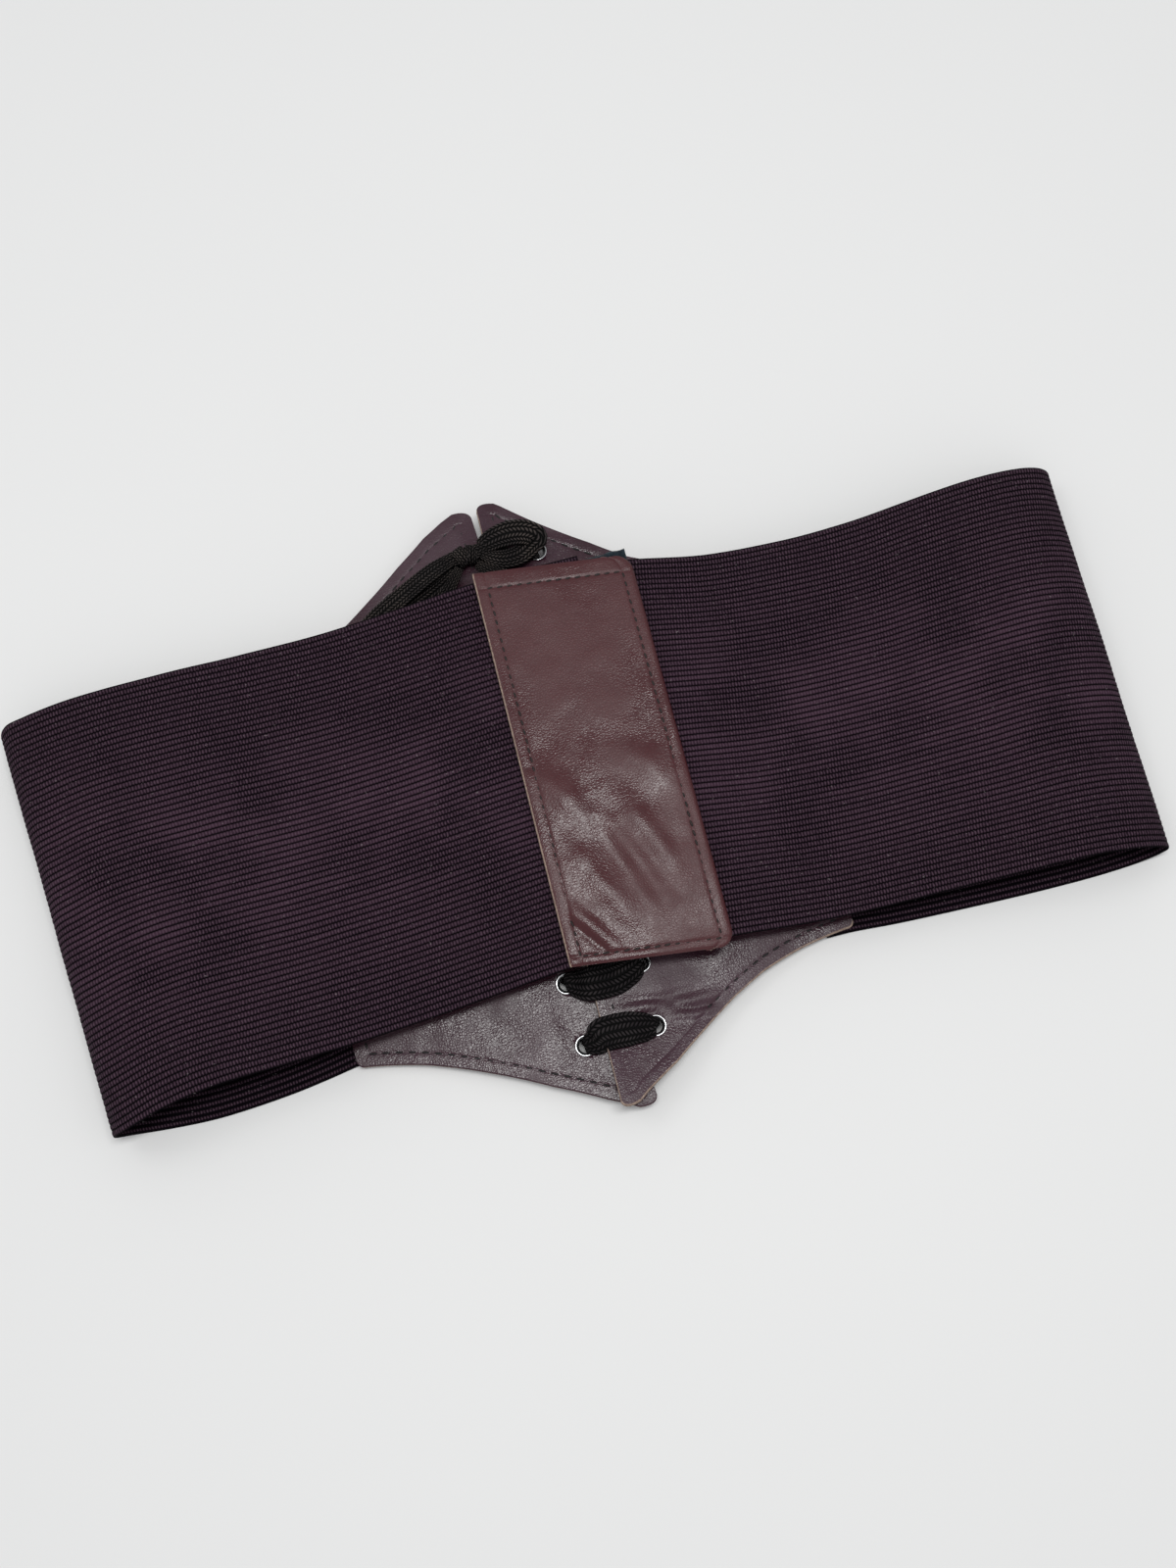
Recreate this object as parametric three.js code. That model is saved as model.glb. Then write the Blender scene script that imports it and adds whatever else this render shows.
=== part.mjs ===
// Corset belt lying flat on a table, closed at the back by a tab and laced at the front.
// Millimetres, +X along the belt, +Y away from the near edge, +Z up, the table at z = 0.
import * as THREE from 'three';

// Elastic bands
const BAND_WIDTH = 151;
const BAND_THICKNESS = 1.6;
const BELT_LENGTH = 411.4;
const LOOP_HEIGHT = 22;
const FOLD_LEAN = { left: 10.3, right: 7.7 };

// Front panels
const PANEL_WIDTH = 98.5;
const PANEL_HEIGHT = 232;
const PANEL_INNER_EDGE = 229;
const PANEL_OUTER_EDGE = 151;
const PANEL_WAIST = 166;
const PANEL_THICKNESS = 1.8;
const PANEL_CORNER = 3;
const PANEL_TIP = 7;
const PANEL_OVERLAP = 14;
const PANEL_MIDDLE_Y = -1.3;
const PANEL_PLACE = {
  left: { x: -11.2, turn: 1.64 },
  right: { x: -16.8, turn: -2.28 },
};

// Closure tab and the fastener strip below it
const TAB_WIDTH = 58;
const TAB_LENGTH = 150.5;
const TAB_THICKNESS = 1.6;
const TAB_CORNER = 6;
const TAB_HEIGHT = 25.5;
const TAB_MIDDLE = { x: 5.9, y: 4.3 };
const TAB_LEAN = 1.8;
const TAB_END_TILT = 8.3;
const TAB_DROOP = 2.4;
const STRIP_THICKNESS = 1.2;
const TAB_LAP = { left: 42, right: 10 };

// Eyelets and lace
const ROWS = 9;
const EYELET_PITCH = 23.2;
const EYELET_INSET = 18.8;
const EYELET_MIDDLE = 1.5;
const EYELET_DIAMETER = 7.8;
const EYELET_HOLE = 5;
const EYELET_WALL = 0.4;
const RIM_THICKNESS = 0.5;
const EYELET_SIDES = 10;
const LACE_WIDTH = 10;
const LACE_THICKNESS = 1.6;

// Clearances and seams
const CLEARANCE = 0.3;
const FLOOR_GAP = 0.15;
const SEAM_LAP = 10;

const SIDES = { left: -1, right: 1 };
const radians = THREE.MathUtils.degToRad;
const lerp = THREE.MathUtils.lerp;

// A closed body from rings or grids of points
function bodyFrom(points, triangles) {
  const geometry = new THREE.BufferGeometry();
  const places = points.flatMap((point) => point.toArray());
  geometry.setAttribute('position', new THREE.Float32BufferAttribute(places, 3));
  geometry.setIndex(triangles.flat());
  geometry.computeVertexNormals();
  return geometry;
}

// A wall of even thickness along a curved middle surface: surface(i, j) gives its grid points
function wallGeometry(across, along, thickness, surface) {
  const grid = [];
  for (let i = 0; i <= along; i += 1) {
    grid.push(Array.from({ length: across + 1 }, (_, j) => surface(i / along, j / across)));
  }
  const normalAt = (i, j) => {
    const ahead = grid[Math.min(i + 1, along)][j].clone().sub(grid[Math.max(i - 1, 0)][j]);
    const aside = grid[i][Math.min(j + 1, across)].clone().sub(grid[i][Math.max(j - 1, 0)]);
    return ahead.cross(aside).normalize();
  };
  const points = [];
  for (const side of [0.5, -0.5]) {
    for (let i = 0; i <= along; i += 1) {
      for (let j = 0; j <= across; j += 1) {
        points.push(grid[i][j].clone().addScaledVector(normalAt(i, j), side * thickness));
      }
    }
  }
  const layer = (along + 1) * (across + 1);
  const face = (i, j) => i * (across + 1) + j;
  const back = (i, j) => layer + face(i, j);
  const triangles = [];
  const quad = (a, b, c, d) => triangles.push([a, b, c], [a, c, d]);
  for (let i = 0; i < along; i += 1) {
    for (let j = 0; j < across; j += 1) {
      quad(face(i, j), face(i + 1, j), face(i + 1, j + 1), face(i, j + 1));
      quad(back(i, j), back(i, j + 1), back(i + 1, j + 1), back(i + 1, j));
    }
    quad(face(i + 1, 0), face(i, 0), back(i, 0), back(i + 1, 0));
    quad(face(i, across), face(i + 1, across), back(i + 1, across), back(i, across));
  }
  for (let j = 0; j < across; j += 1) {
    quad(face(0, j), face(0, j + 1), back(0, j + 1), back(0, j));
    quad(face(along, j + 1), face(along, j), back(along, j), back(along, j + 1));
  }
  return bodyFrom(points, triangles);
}

// A flat lace along rows of { at, up, wide, thick }: up is the direction that its face looks
const LACE_SECTION = [
  [0.5, 0], [0.4, 0.4], [0, 0.5], [-0.4, 0.4], [-0.5, 0], [-0.4, -0.4], [0, -0.5], [0.4, -0.4],
];

function laceGeometry(rows) {
  const points = [];
  const triangles = [];
  const sides = LACE_SECTION.length;
  rows.forEach((row, k) => {
    const next = rows[Math.min(k + 1, rows.length - 1)];
    const previous = rows[Math.max(k - 1, 0)];
    const ahead = next.at.clone().sub(previous.at).normalize();
    const up = row.up.clone().addScaledVector(ahead, -row.up.dot(ahead)).normalize();
    const aside = up.clone().cross(ahead);
    for (const [w, t] of LACE_SECTION) {
      const edge = row.at.clone().addScaledVector(aside, w * row.wide);
      points.push(edge.addScaledVector(up, t * row.thick));
    }
  });
  const at = (k, i) => k * sides + (i % sides);
  for (let k = 0; k < rows.length - 1; k += 1) {
    for (let i = 0; i < sides; i += 1) {
      triangles.push([at(k, i), at(k, i + 1), at(k + 1, i + 1)]);
      triangles.push([at(k, i), at(k + 1, i + 1), at(k + 1, i)]);
    }
  }
  const last = rows.length - 1;
  for (let i = 1; i < sides - 1; i += 1) {
    triangles.push([0, i + 1, i], [at(last, 0), at(last, i), at(last, i + 1)]);
  }
  return bodyFrom(points, triangles);
}

// Materials
const paint = (color, roughness, metalness = 0) => {
  return new THREE.MeshStandardMaterial({ color, roughness, metalness });
};
const elastic = paint(0x2e2029, 0.85);
const leather = paint(0x4c393f, 0.45);
const tabLeather = paint(0x5b4143, 0.5);
const fastener = paint(0x17252b, 0.9);
const braid = paint(0x1d1716, 0.9);
const silver = paint(0xc9ccce, 0.25, 1);

function piece(name, geometry, material) {
  const mesh = new THREE.Mesh(geometry, material);
  mesh.name = name;
  return mesh;
}

// Heights that the pieces share
const EYELET_REACH = EYELET_INSET + LACE_WIDTH * 0.6;
const underLaceTop = FLOOR_GAP + 2 * LACE_THICKNESS + CLEARANCE;
const endLift = BAND_THICKNESS + 2 * CLEARANCE;
const eyeletLift = underLaceTop + 2 * CLEARANCE + RIM_THICKNESS;
const leftLift = endLift + (eyeletLift - endLift) * PANEL_WIDTH / (PANEL_WIDTH - EYELET_REACH);
const rightLift = endLift
  + (leftLift + PANEL_THICKNESS + CLEARANCE - endLift) * PANEL_WIDTH / (PANEL_WIDTH - PANEL_OVERLAP);
const panelLift = { left: leftLift, right: rightLift };
const rimTop = PANEL_THICKNESS + CLEARANCE + RIM_THICKNESS;
const bandSeat = TAB_HEIGHT - TAB_THICKNESS - STRIP_THICKNESS - BAND_THICKNESS / 2 - 2 * CLEARANCE;

// Front panels: a tilted group on each side holds the leather and its eyelets
const HOLE_RADIUS = EYELET_HOLE / 2 + EYELET_WALL + CLEARANCE;

function panelOutline(side) {
  const sign = SIDES[side];
  const shape = new THREE.Shape();
  const half = { inner: PANEL_INNER_EDGE / 2, tip: PANEL_HEIGHT / 2, outer: PANEL_OUTER_EDGE / 2 };
  const upper = [
    [0, half.inner], [0.1 * PANEL_TIP, half.tip + 1.9], [PANEL_TIP, half.tip],
    [0.53 * PANEL_WIDTH, PANEL_WAIST / 2], [PANEL_WIDTH - PANEL_CORNER, half.outer],
    [PANEL_WIDTH, half.outer], [PANEL_WIDTH, half.outer - PANEL_CORNER],
  ];
  const corners = [...upper, ...upper.map(([u, v]) => [u, -v]).reverse()].map(([u, v]) => [sign * u, v]);
  shape.moveTo(...corners[0]);
  shape.quadraticCurveTo(...corners[1], ...corners[2]);
  shape.quadraticCurveTo(...corners[3], ...corners[4]);
  shape.quadraticCurveTo(...corners[5], ...corners[6]);
  shape.lineTo(...corners[7]);
  shape.quadraticCurveTo(...corners[8], ...corners[9]);
  shape.quadraticCurveTo(...corners[10], ...corners[11]);
  shape.quadraticCurveTo(...corners[12], ...corners[13]);
  for (let row = 1; row <= ROWS; row += 1) {
    const hole = new THREE.Path();
    hole.absarc(sign * EYELET_INSET, rowHeight(row), HOLE_RADIUS, 0, 2 * Math.PI);
    shape.holes.push(hole);
  }
  return shape;
}

function rowHeight(row) {
  return EYELET_MIDDLE + (row - (ROWS + 1) / 2) * EYELET_PITCH;
}

function eyeletGeometry() {
  const bore = EYELET_HOLE / 2;
  const flange = EYELET_DIAMETER / 2;
  const barrel = bore + EYELET_WALL;
  const profile = [
    [bore, -CLEARANCE - RIM_THICKNESS], [flange, -CLEARANCE - RIM_THICKNESS], [flange, -CLEARANCE],
    [barrel, -CLEARANCE], [barrel, PANEL_THICKNESS + CLEARANCE], [flange, PANEL_THICKNESS + CLEARANCE],
    [flange - 0.3, rimTop], [bore, rimTop - 0.1], [bore, -CLEARANCE - RIM_THICKNESS],
  ];
  const geometry = new THREE.LatheGeometry(profile.map(([r, z]) => new THREE.Vector2(r, z)), EYELET_SIDES);
  return geometry.rotateX(Math.PI / 2);
}

function frontPanel(side) {
  const group = new THREE.Group();
  const place = PANEL_PLACE[side];
  const tilt = Math.atan((panelLift[side] - endLift) / PANEL_WIDTH);
  group.rotation.order = 'ZYX';
  group.rotation.set(0, SIDES[side] * tilt, radians(place.turn));
  group.position.set(place.x, PANEL_MIDDLE_Y, panelLift[side]);
  const leatherShape = new THREE.ExtrudeGeometry(panelOutline(side), {
    depth: PANEL_THICKNESS, bevelEnabled: false, curveSegments: 7,
  });
  group.add(piece(`front_panel_${side}`, leatherShape, leather));
  for (let row = 1; row <= ROWS; row += 1) {
    const eyelet = piece(`eyelet_${side}_${row}`, eyeletGeometry(), silver);
    eyelet.position.set(SIDES[side] * EYELET_INSET, rowHeight(row), 0);
    group.add(eyelet);
  }
  group.updateMatrixWorld(true);
  return group;
}

const panels = { left: frontPanel('left'), right: frontPanel('right') };

// A point by its distances from a panel's inner edge, from its middle and above its lower face
function onPanel(side, inset, up, above) {
  return panels[side].localToWorld(new THREE.Vector3(SIDES[side] * inset, up, above));
}

// The near end of the closed back droops a little
function droop(y) {
  return TAB_DROOP * Math.max(0, -y / (BAND_WIDTH / 2)) ** 2;
}

// Sections of a band, from below the front panel, round the fold and back to the tab.
// out: share of the way to the fold. near, far: edges as shares of the band's width.
// nearRise, farRise: middle of the wall as shares of the loop's height.
const FLAT = 0;
const BAND_SECTIONS = {
  left: [
    { run: 'seam', out: 0, near: -0.505, far: 0.495 },
    { run: 'under', out: 0.00, near: -0.509, far: 0.491, nearRise: 0.05, farRise: 0.05 },
    { run: 'under', out: 0.14, near: -0.520, far: 0.480, nearRise: FLAT, farRise: FLAT },
    { run: 'under', out: 0.32, near: -0.531, far: 0.469, nearRise: FLAT, farRise: FLAT },
    { run: 'under', out: 0.60, near: -0.537, far: 0.465, nearRise: FLAT, farRise: FLAT },
    { run: 'under', out: 0.80, near: -0.529, far: 0.478, nearRise: FLAT, farRise: FLAT },
    { run: 'under', out: 0.94, near: -0.520, far: 0.492, nearRise: 0.08, farRise: 0.08 },
    { run: 'top', out: 1.000, near: -0.520, far: 0.503, nearRise: 0.42, farRise: 0.36 },
    { run: 'top', out: 0.980, near: -0.521, far: 0.513, nearRise: 0.76, farRise: 0.62 },
    { run: 'top', out: 0.940, near: -0.512, far: 0.517, nearRise: 0.92, farRise: 0.75 },
    { run: 'top', out: 0.880, near: -0.495, far: 0.524, nearRise: 0.99, farRise: 0.82 },
    { run: 'top', out: 0.780, near: -0.478, far: 0.529, nearRise: 1.00, farRise: 0.85 },
    { run: 'top', out: 0.640, near: -0.473, far: 0.529, nearRise: 0.94, farRise: 0.83 },
    { run: 'top', out: 0.480, near: -0.471, far: 0.525, nearRise: 0.87, farRise: 0.80 },
    { run: 'top', out: 0.320, near: -0.470, far: 0.524, nearRise: 0.85, farRise: 0.79 },
    { run: 'top', out: 0.160, near: -0.468, far: 0.530, nearRise: 0.89, farRise: 0.87 },
    { run: 'tab', out: 0, near: -0.466, far: 0.538 },
    { run: 'lap', out: 0, near: -0.466, far: 0.538 },
  ],
  right: [
    { run: 'seam', out: 0, near: -0.524, far: 0.476 },
    { run: 'under', out: 0.00, near: -0.526, far: 0.474, nearRise: 0.05, farRise: 0.05 },
    { run: 'under', out: 0.14, near: -0.530, far: 0.470, nearRise: FLAT, farRise: FLAT },
    { run: 'under', out: 0.32, near: -0.536, far: 0.464, nearRise: FLAT, farRise: FLAT },
    { run: 'under', out: 0.60, near: -0.544, far: 0.456, nearRise: FLAT, farRise: FLAT },
    { run: 'under', out: 0.80, near: -0.547, far: 0.453, nearRise: FLAT, farRise: FLAT },
    { run: 'under', out: 0.94, near: -0.546, far: 0.456, nearRise: 0.08, farRise: 0.08 },
    { run: 'top', out: 1.000, near: -0.543, far: 0.458, nearRise: 0.34, farRise: 0.34 },
    { run: 'top', out: 0.980, near: -0.543, far: 0.462, nearRise: 0.60, farRise: 0.58 },
    { run: 'top', out: 0.940, near: -0.542, far: 0.467, nearRise: 0.76, farRise: 0.74 },
    { run: 'top', out: 0.880, near: -0.540, far: 0.470, nearRise: 0.86, farRise: 0.84 },
    { run: 'top', out: 0.780, near: -0.535, far: 0.467, nearRise: 0.93, farRise: 0.91 },
    { run: 'top', out: 0.640, near: -0.529, far: 0.455, nearRise: 0.90, farRise: 0.89 },
    { run: 'top', out: 0.500, near: -0.521, far: 0.446, nearRise: 0.82, farRise: 0.82 },
    { run: 'top', out: 0.340, near: -0.512, far: 0.449, nearRise: 0.78, farRise: 0.78 },
    { run: 'top', out: 0.180, near: -0.496, far: 0.462, nearRise: 0.80, farRise: 0.81 },
    { run: 'tab', out: 0, near: -0.472, far: 0.496 },
    { run: 'lap', out: 0, near: -0.466, far: 0.502 },
  ],
};
const BAND_STEPS = 3;
const BAND_COLUMNS = 6;

function bandPoint(side, section, share) {
  const sign = SIDES[side];
  const y = lerp(section.near, section.far, share) * BAND_WIDTH;
  const fold = sign * (BELT_LENGTH / 2 - BAND_THICKNESS / 2 - FOLD_LEAN[side] * (1 - share));
  const panelEnd = onPanel(side, PANEL_WIDTH, y, -CLEARANCE - BAND_THICKNESS / 2);
  const tabEdge = TAB_MIDDLE.x + sign * TAB_WIDTH / 2;
  if (section.run === 'seam') {
    const inside = onPanel(side, PANEL_WIDTH - SEAM_LAP, y, -CLEARANCE - BAND_THICKNESS / 2);
    return new THREE.Vector3(panelEnd.x - sign * SEAM_LAP, y, inside.z);
  }
  if (section.run === 'tab') {
    return new THREE.Vector3(tabEdge, y, bandSeat);
  }
  if (section.run === 'lap') {
    return new THREE.Vector3(tabEdge - sign * TAB_LAP[side], y, bandSeat);
  }
  const start = section.run === 'top' ? tabEdge : panelEnd.x;
  const rise = lerp(section.nearRise, section.farRise, share) * LOOP_HEIGHT;
  return new THREE.Vector3(lerp(start, fold, section.out), y, Math.max(rise, BAND_THICKNESS / 2));
}

function elasticBand(side) {
  const sections = BAND_SECTIONS[side];
  const lastTop = sections.length - 1;
  const firstTop = sections.findIndex((section) => section.run === 'top');
  const curves = Array.from({ length: BAND_COLUMNS + 1 }, (_, j) => {
    return new THREE.CatmullRomCurve3(sections.map((section) => bandPoint(side, section, j / BAND_COLUMNS)));
  });
  const surface = (along, across) => {
    const point = curves[Math.round(across * BAND_COLUMNS)].getPoint(along);
    const onTop = THREE.MathUtils.smoothstep(along * lastTop, firstTop, lastTop - 2);
    point.z = Math.max(point.z - onTop * droop(point.y), BAND_THICKNESS / 2);
    return point;
  };
  return wallGeometry(BAND_COLUMNS, lastTop * BAND_STEPS, BAND_THICKNESS, surface);
}

// Closure tab: a leaning rectangle with tilted ends, square corners on its left and round ones on its right
function tabPoint(across, along, height) {
  const lean = Math.tan(radians(TAB_LEAN));
  const fall = Math.tan(radians(TAB_END_TILT));
  const x = (across - 0.5) * TAB_WIDTH;
  const y = (along - 0.5) * TAB_LENGTH;
  const place = new THREE.Vector3(TAB_MIDDLE.x + x + y * lean, TAB_MIDDLE.y + y - x * fall, height);
  place.z -= droop(place.y);
  return place;
}

function backTab() {
  const rows = [0, 0.12, 0.3, 0.55, 1];
  const corner = TAB_CORNER / TAB_LENGTH;
  const along = [
    ...rows.map((share) => share * corner),
    ...Array.from({ length: 9 }, (_, k) => lerp(corner, 1 - corner, (k + 1) / 10)),
    ...rows.map((share) => 1 - share * corner).reverse(),
  ];
  const columns = 6;
  const surface = (i, j) => {
    const share = along[Math.round(i * (along.length - 1))];
    const fromEnd = Math.min(share, 1 - share) * TAB_LENGTH;
    const inCorner = Math.max(0, TAB_CORNER - fromEnd);
    const pulled = TAB_CORNER - Math.sqrt(TAB_CORNER ** 2 - inCorner ** 2);
    return tabPoint((1 - j) * (1 - pulled / TAB_WIDTH), share, TAB_HEIGHT - TAB_THICKNESS / 2);
  };
  return wallGeometry(columns, along.length - 1, TAB_THICKNESS, surface);
}

// Fastener strip: its corners as shares of the tab, with the far right one standing proud
const STRIP_CORNERS = {
  nearLeft: [0.07, 0.03], nearRight: [0.985, 0.03],
  farLeft: [0.07, 0.965], farRight: [0.985, 1.022],
};

function fastenerStrip() {
  const height = TAB_HEIGHT - TAB_THICKNESS - CLEARANCE - STRIP_THICKNESS / 2;
  const surface = (i, j) => {
    const left = [0, 1].map((k) => lerp(STRIP_CORNERS.nearLeft[k], STRIP_CORNERS.farLeft[k], i));
    const right = [0, 1].map((k) => lerp(STRIP_CORNERS.nearRight[k], STRIP_CORNERS.farRight[k], i));
    return tabPoint(lerp(right[0], left[0], j), lerp(right[1], left[1], j), height);
  };
  return wallGeometry(4, 12, STRIP_THICKNESS, surface);
}

// The laced stretch. It goes down at each left eyelet, across below to a right one, up, and back by a bar.
const LACING = [
  { from: 9, to: 7 }, { from: 7, to: 5 }, { from: 5, to: 3 }, { from: 3, to: 1 },
  { from: 1, to: 2 }, { from: 2, to: 4 }, { from: 4, to: 6 }, { from: 6, to: 8 }, { from: 8, to: 9 },
];
const BAR_SAG = { 1: 0.1, 2: -0.35 };
const HIDDEN_SAG = -0.12;
const HOLE_WIDTH = 3.8;
const BEND = 1.1;
const SHOULDER = 3.8;
const CORNER_DROP = 0.15;
const EDGE_REACH = 0.6;

function laceRow(at, up, wide = LACE_WIDTH, thick = LACE_THICKNESS) {
  return { at, up: up.clone(), wide, thick };
}

const UP = new THREE.Vector3(0, 0, 1);
const DOWN = new THREE.Vector3(0, 0, -1);
const mix = (a, b) => a.clone().add(b).normalize();
const eyeletAt = (side, row, above) => onPanel(side, EYELET_INSET, rowHeight(row), above);
const overRim = rimTop + CLEARANCE + LACE_THICKNESS / 2;

function underHeading(hop) {
  const heading = eyeletAt('right', hop.to, 0).sub(eyeletAt('left', hop.from, 0));
  return heading.setZ(0).normalize();
}

// Below: out of the left eyelet's hole and up to the right one's
function underRun(hop) {
  const heading = underHeading(hop);
  const level = FLOOR_GAP + LACE_THICKNESS / 2 + (hop.to > hop.from ? LACE_THICKNESS + CLEARANCE : 0);
  const start = eyeletAt('left', hop.from, 0).setZ(level);
  const end = eyeletAt('right', hop.to, 0).setZ(level);
  const span = start.distanceTo(end);
  const turn = (distance, height, up, wide) => {
    return laceRow(start.clone().addScaledVector(heading, distance).setZ(level + height), up, wide);
  };
  return [
    turn(0.3, BEND, heading.clone().negate(), HOLE_WIDTH),
    turn(BEND, 0.25, mix(DOWN, heading.clone().negate()), 0.5 * LACE_WIDTH),
    turn(2.6, 0, DOWN, 0.62 * LACE_WIDTH),
    turn(0.22 * span, 0, DOWN, 0.9 * LACE_WIDTH),
    turn(0.5 * span, 0, DOWN, 0.9 * LACE_WIDTH),
    turn(0.78 * span, 0, DOWN, 0.9 * LACE_WIDTH),
    turn(span - 2.6, 0, DOWN, 0.62 * LACE_WIDTH),
    turn(span - BEND, 0.25, mix(DOWN, heading), 0.5 * LACE_WIDTH),
    turn(span - 0.3, BEND, heading, HOLE_WIDTH),
  ];
}

// Where the lace bends over an eyelet's rim, on its way in or out along a level heading
function rimCorner(side, row, heading) {
  const at = eyeletAt(side, row, overRim - CORNER_DROP).addScaledVector(heading, BEND * 0.8);
  return laceRow(at, mix(UP, heading.clone().negate()), 0.42 * LACE_WIDTH);
}

// Above: out of a right eyelet, over both inner edges and into the left eyelet of that row
function bar(row) {
  const start = eyeletAt('right', row, overRim);
  const end = eyeletAt('left', row, overRim);
  const heading = end.clone().sub(start).setZ(0).normalize();
  const back = heading.clone().negate();
  const sag = (BAR_SAG[row] ?? HIDDEN_SAG) * LACE_WIDTH;
  const overEdge = onPanel('right', -EDGE_REACH, rowHeight(row) + sag, PANEL_THICKNESS + LACE_THICKNESS);
  const onRight = onPanel('right', EYELET_INSET * 0.45, rowHeight(row) + sag, overRim);
  const shifted = (point, share) => point.clone().add(new THREE.Vector3(0, sag * share, 0));
  return [
    rimCorner('right', row, heading),
    laceRow(shifted(start.clone().addScaledVector(heading, SHOULDER), 0.4), UP, 0.85 * LACE_WIDTH),
    laceRow(onRight, UP, 1.15 * LACE_WIDTH),
    laceRow(overEdge, UP, 1.15 * LACE_WIDTH),
    laceRow(shifted(end.clone().addScaledVector(back, SHOULDER), 0.4), UP, 0.8 * LACE_WIDTH),
    rimCorner('left', row, back),
  ];
}

function inHole(side, row, up) {
  return laceRow(eyeletAt(side, row, PANEL_THICKNESS / 2), up, HOLE_WIDTH);
}

// From each eyelet of the top row the lace crosses the panel to the knot
const LACE_TO_KNOT = {
  left: [[-29, 93.8, 8.9], [-27, 95.2, 9.8]],
  right: [[1.6, 92.2, 11.2], [-3, 92.4, 11.3], [-9, 94, 11.7], [-14.3, 96.2, 11.7]],
};
const KNOTTED_WIDTH = 0.6;

function laceToKnot(side) {
  const points = LACE_TO_KNOT[side].map(([x, y, z]) => new THREE.Vector3(x, y, z));
  const heading = points[0].clone().sub(eyeletAt(side, ROWS, 0)).setZ(0).normalize();
  return [rimCorner(side, ROWS, heading), ...points.map((at) => laceRow(at, UP, KNOTTED_WIDTH * LACE_WIDTH))];
}

function laceGeometryWhole() {
  const outward = (side) => new THREE.Vector3(SIDES[side], 0, 0);
  const rows = laceToKnot('left').reverse();
  LACING.forEach((hop, k) => {
    const heading = underHeading(hop);
    if (k > 0) {
      rows.push(...bar(hop.from));
    }
    rows.push(inHole('left', hop.from, outward('left')), ...underRun(hop));
    rows.push(inHole('right', hop.to, k < LACING.length - 1 ? heading : outward('right')));
  });
  return laceGeometry([...rows, ...laceToKnot('right')]);
}

// Bow: a knot, two loops and two tails. wide: share of the lace's width. twist: degrees about the route.
const KNOT = { x: -20.7, y: 97, z: 11.2, length: 11, width: 9.4, height: 7 };
const BOW_ROUTES = {
  bow_loop_right: [
    { x: -14.6, y: 98, z: 13.4, wide: 0.6, twist: 0 }, { x: -10.5, y: 99.2, z: 14.2, wide: 0.85, twist: 0 },
    { x: -4.2, y: 99.8, z: 15.2, wide: 1, twist: 0 }, { x: 1.6, y: 98.8, z: 15.9, wide: 1, twist: 0 },
    { x: 5.4, y: 96.9, z: 15.8, wide: 0.95, twist: 0 }, { x: 6.6, y: 95.3, z: 15, wide: 0.9, twist: 10 },
    { x: 4.5, y: 94, z: 14.2, wide: 0.85, twist: 25 }, { x: -0.9, y: 91, z: 13.9, wide: 0.8, twist: 30 },
    { x: -6.7, y: 90.6, z: 14, wide: 0.75, twist: 30 }, { x: -11, y: 92.2, z: 14, wide: 0.65, twist: 35 },
    { x: -14.6, y: 94.8, z: 13.9, wide: 0.45, twist: 45 },
  ],
  bow_loop_left: [
    { x: -26.8, y: 97, z: 12.2, wide: 0.6, twist: 10 }, { x: -34.1, y: 95, z: 12.2, wide: 0.75, twist: 12 },
    { x: -43.7, y: 91.6, z: 11.6, wide: 0.8, twist: 12 }, { x: -53.2, y: 88, z: 10.9, wide: 0.8, twist: 8 },
    { x: -60.5, y: 84.6, z: 10.6, wide: 0.8, twist: 0 }, { x: -65.4, y: 80.8, z: 10.4, wide: 0.8, twist: 0 },
    { x: -66.2, y: 77.6, z: 9.2, wide: 0.8, twist: -20 }, { x: -62.5, y: 76.6, z: 8.2, wide: 0.75, twist: -30 },
    { x: -56.4, y: 79.6, z: 7.9, wide: 0.75, twist: -20 }, { x: -49.2, y: 83.6, z: 8.2, wide: 0.75, twist: -10 },
    { x: -40.4, y: 86.6, z: 8.9, wide: 0.7, twist: -5 }, { x: -32.8, y: 89, z: 10.2, wide: 0.6, twist: -10 },
    { x: -26.4, y: 91.6, z: 11.9, wide: 0.5, twist: -30 },
  ],
  bow_tail_left: [
    { x: -24.4, y: 91.6, z: 14.2, wide: 0.35, twist: 0 }, { x: -28, y: 87.4, z: 14, wide: 0.4, twist: 0 },
    { x: -33, y: 81.6, z: 12.4, wide: 0.7, twist: 0 }, { x: -37.4, y: 73, z: 9.4, wide: 0.9, twist: 0 },
    { x: -40.4, y: 62, z: 8, wide: 0.95, twist: 0 }, { x: -43, y: 48, z: 7.6, wide: 0.95, twist: 0 },
    { x: -46.4, y: 34, z: 7.5, wide: 0.95, twist: 0 }, { x: -52, y: 20, z: 7.3, wide: 0.95, twist: 0 },
    { x: -60, y: 9, z: 7.1, wide: 0.95, twist: 0 },
  ],
  bow_tail_right: [
    { x: -17.6, y: 91.4, z: 14.4, wide: 0.35, twist: 0 }, { x: -13, y: 86.6, z: 14.6, wide: 0.5, twist: 0 },
    { x: -5, y: 81, z: 13.8, wide: 0.8, twist: 0 }, { x: 5, y: 75.4, z: 12.6, wide: 0.95, twist: 0 },
    { x: 13.4, y: 66.6, z: 10.6, wide: 0.95, twist: 0 }, { x: 18.6, y: 54, z: 9.4, wide: 0.95, twist: 0 },
    { x: 21.4, y: 40, z: 9.1, wide: 0.95, twist: 0 }, { x: 21.6, y: 26, z: 9, wide: 0.95, twist: 0 },
    { x: 18.6, y: 12, z: 9.1, wide: 0.95, twist: 0 },
  ],
};
const BOW_STEPS = 2;

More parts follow.
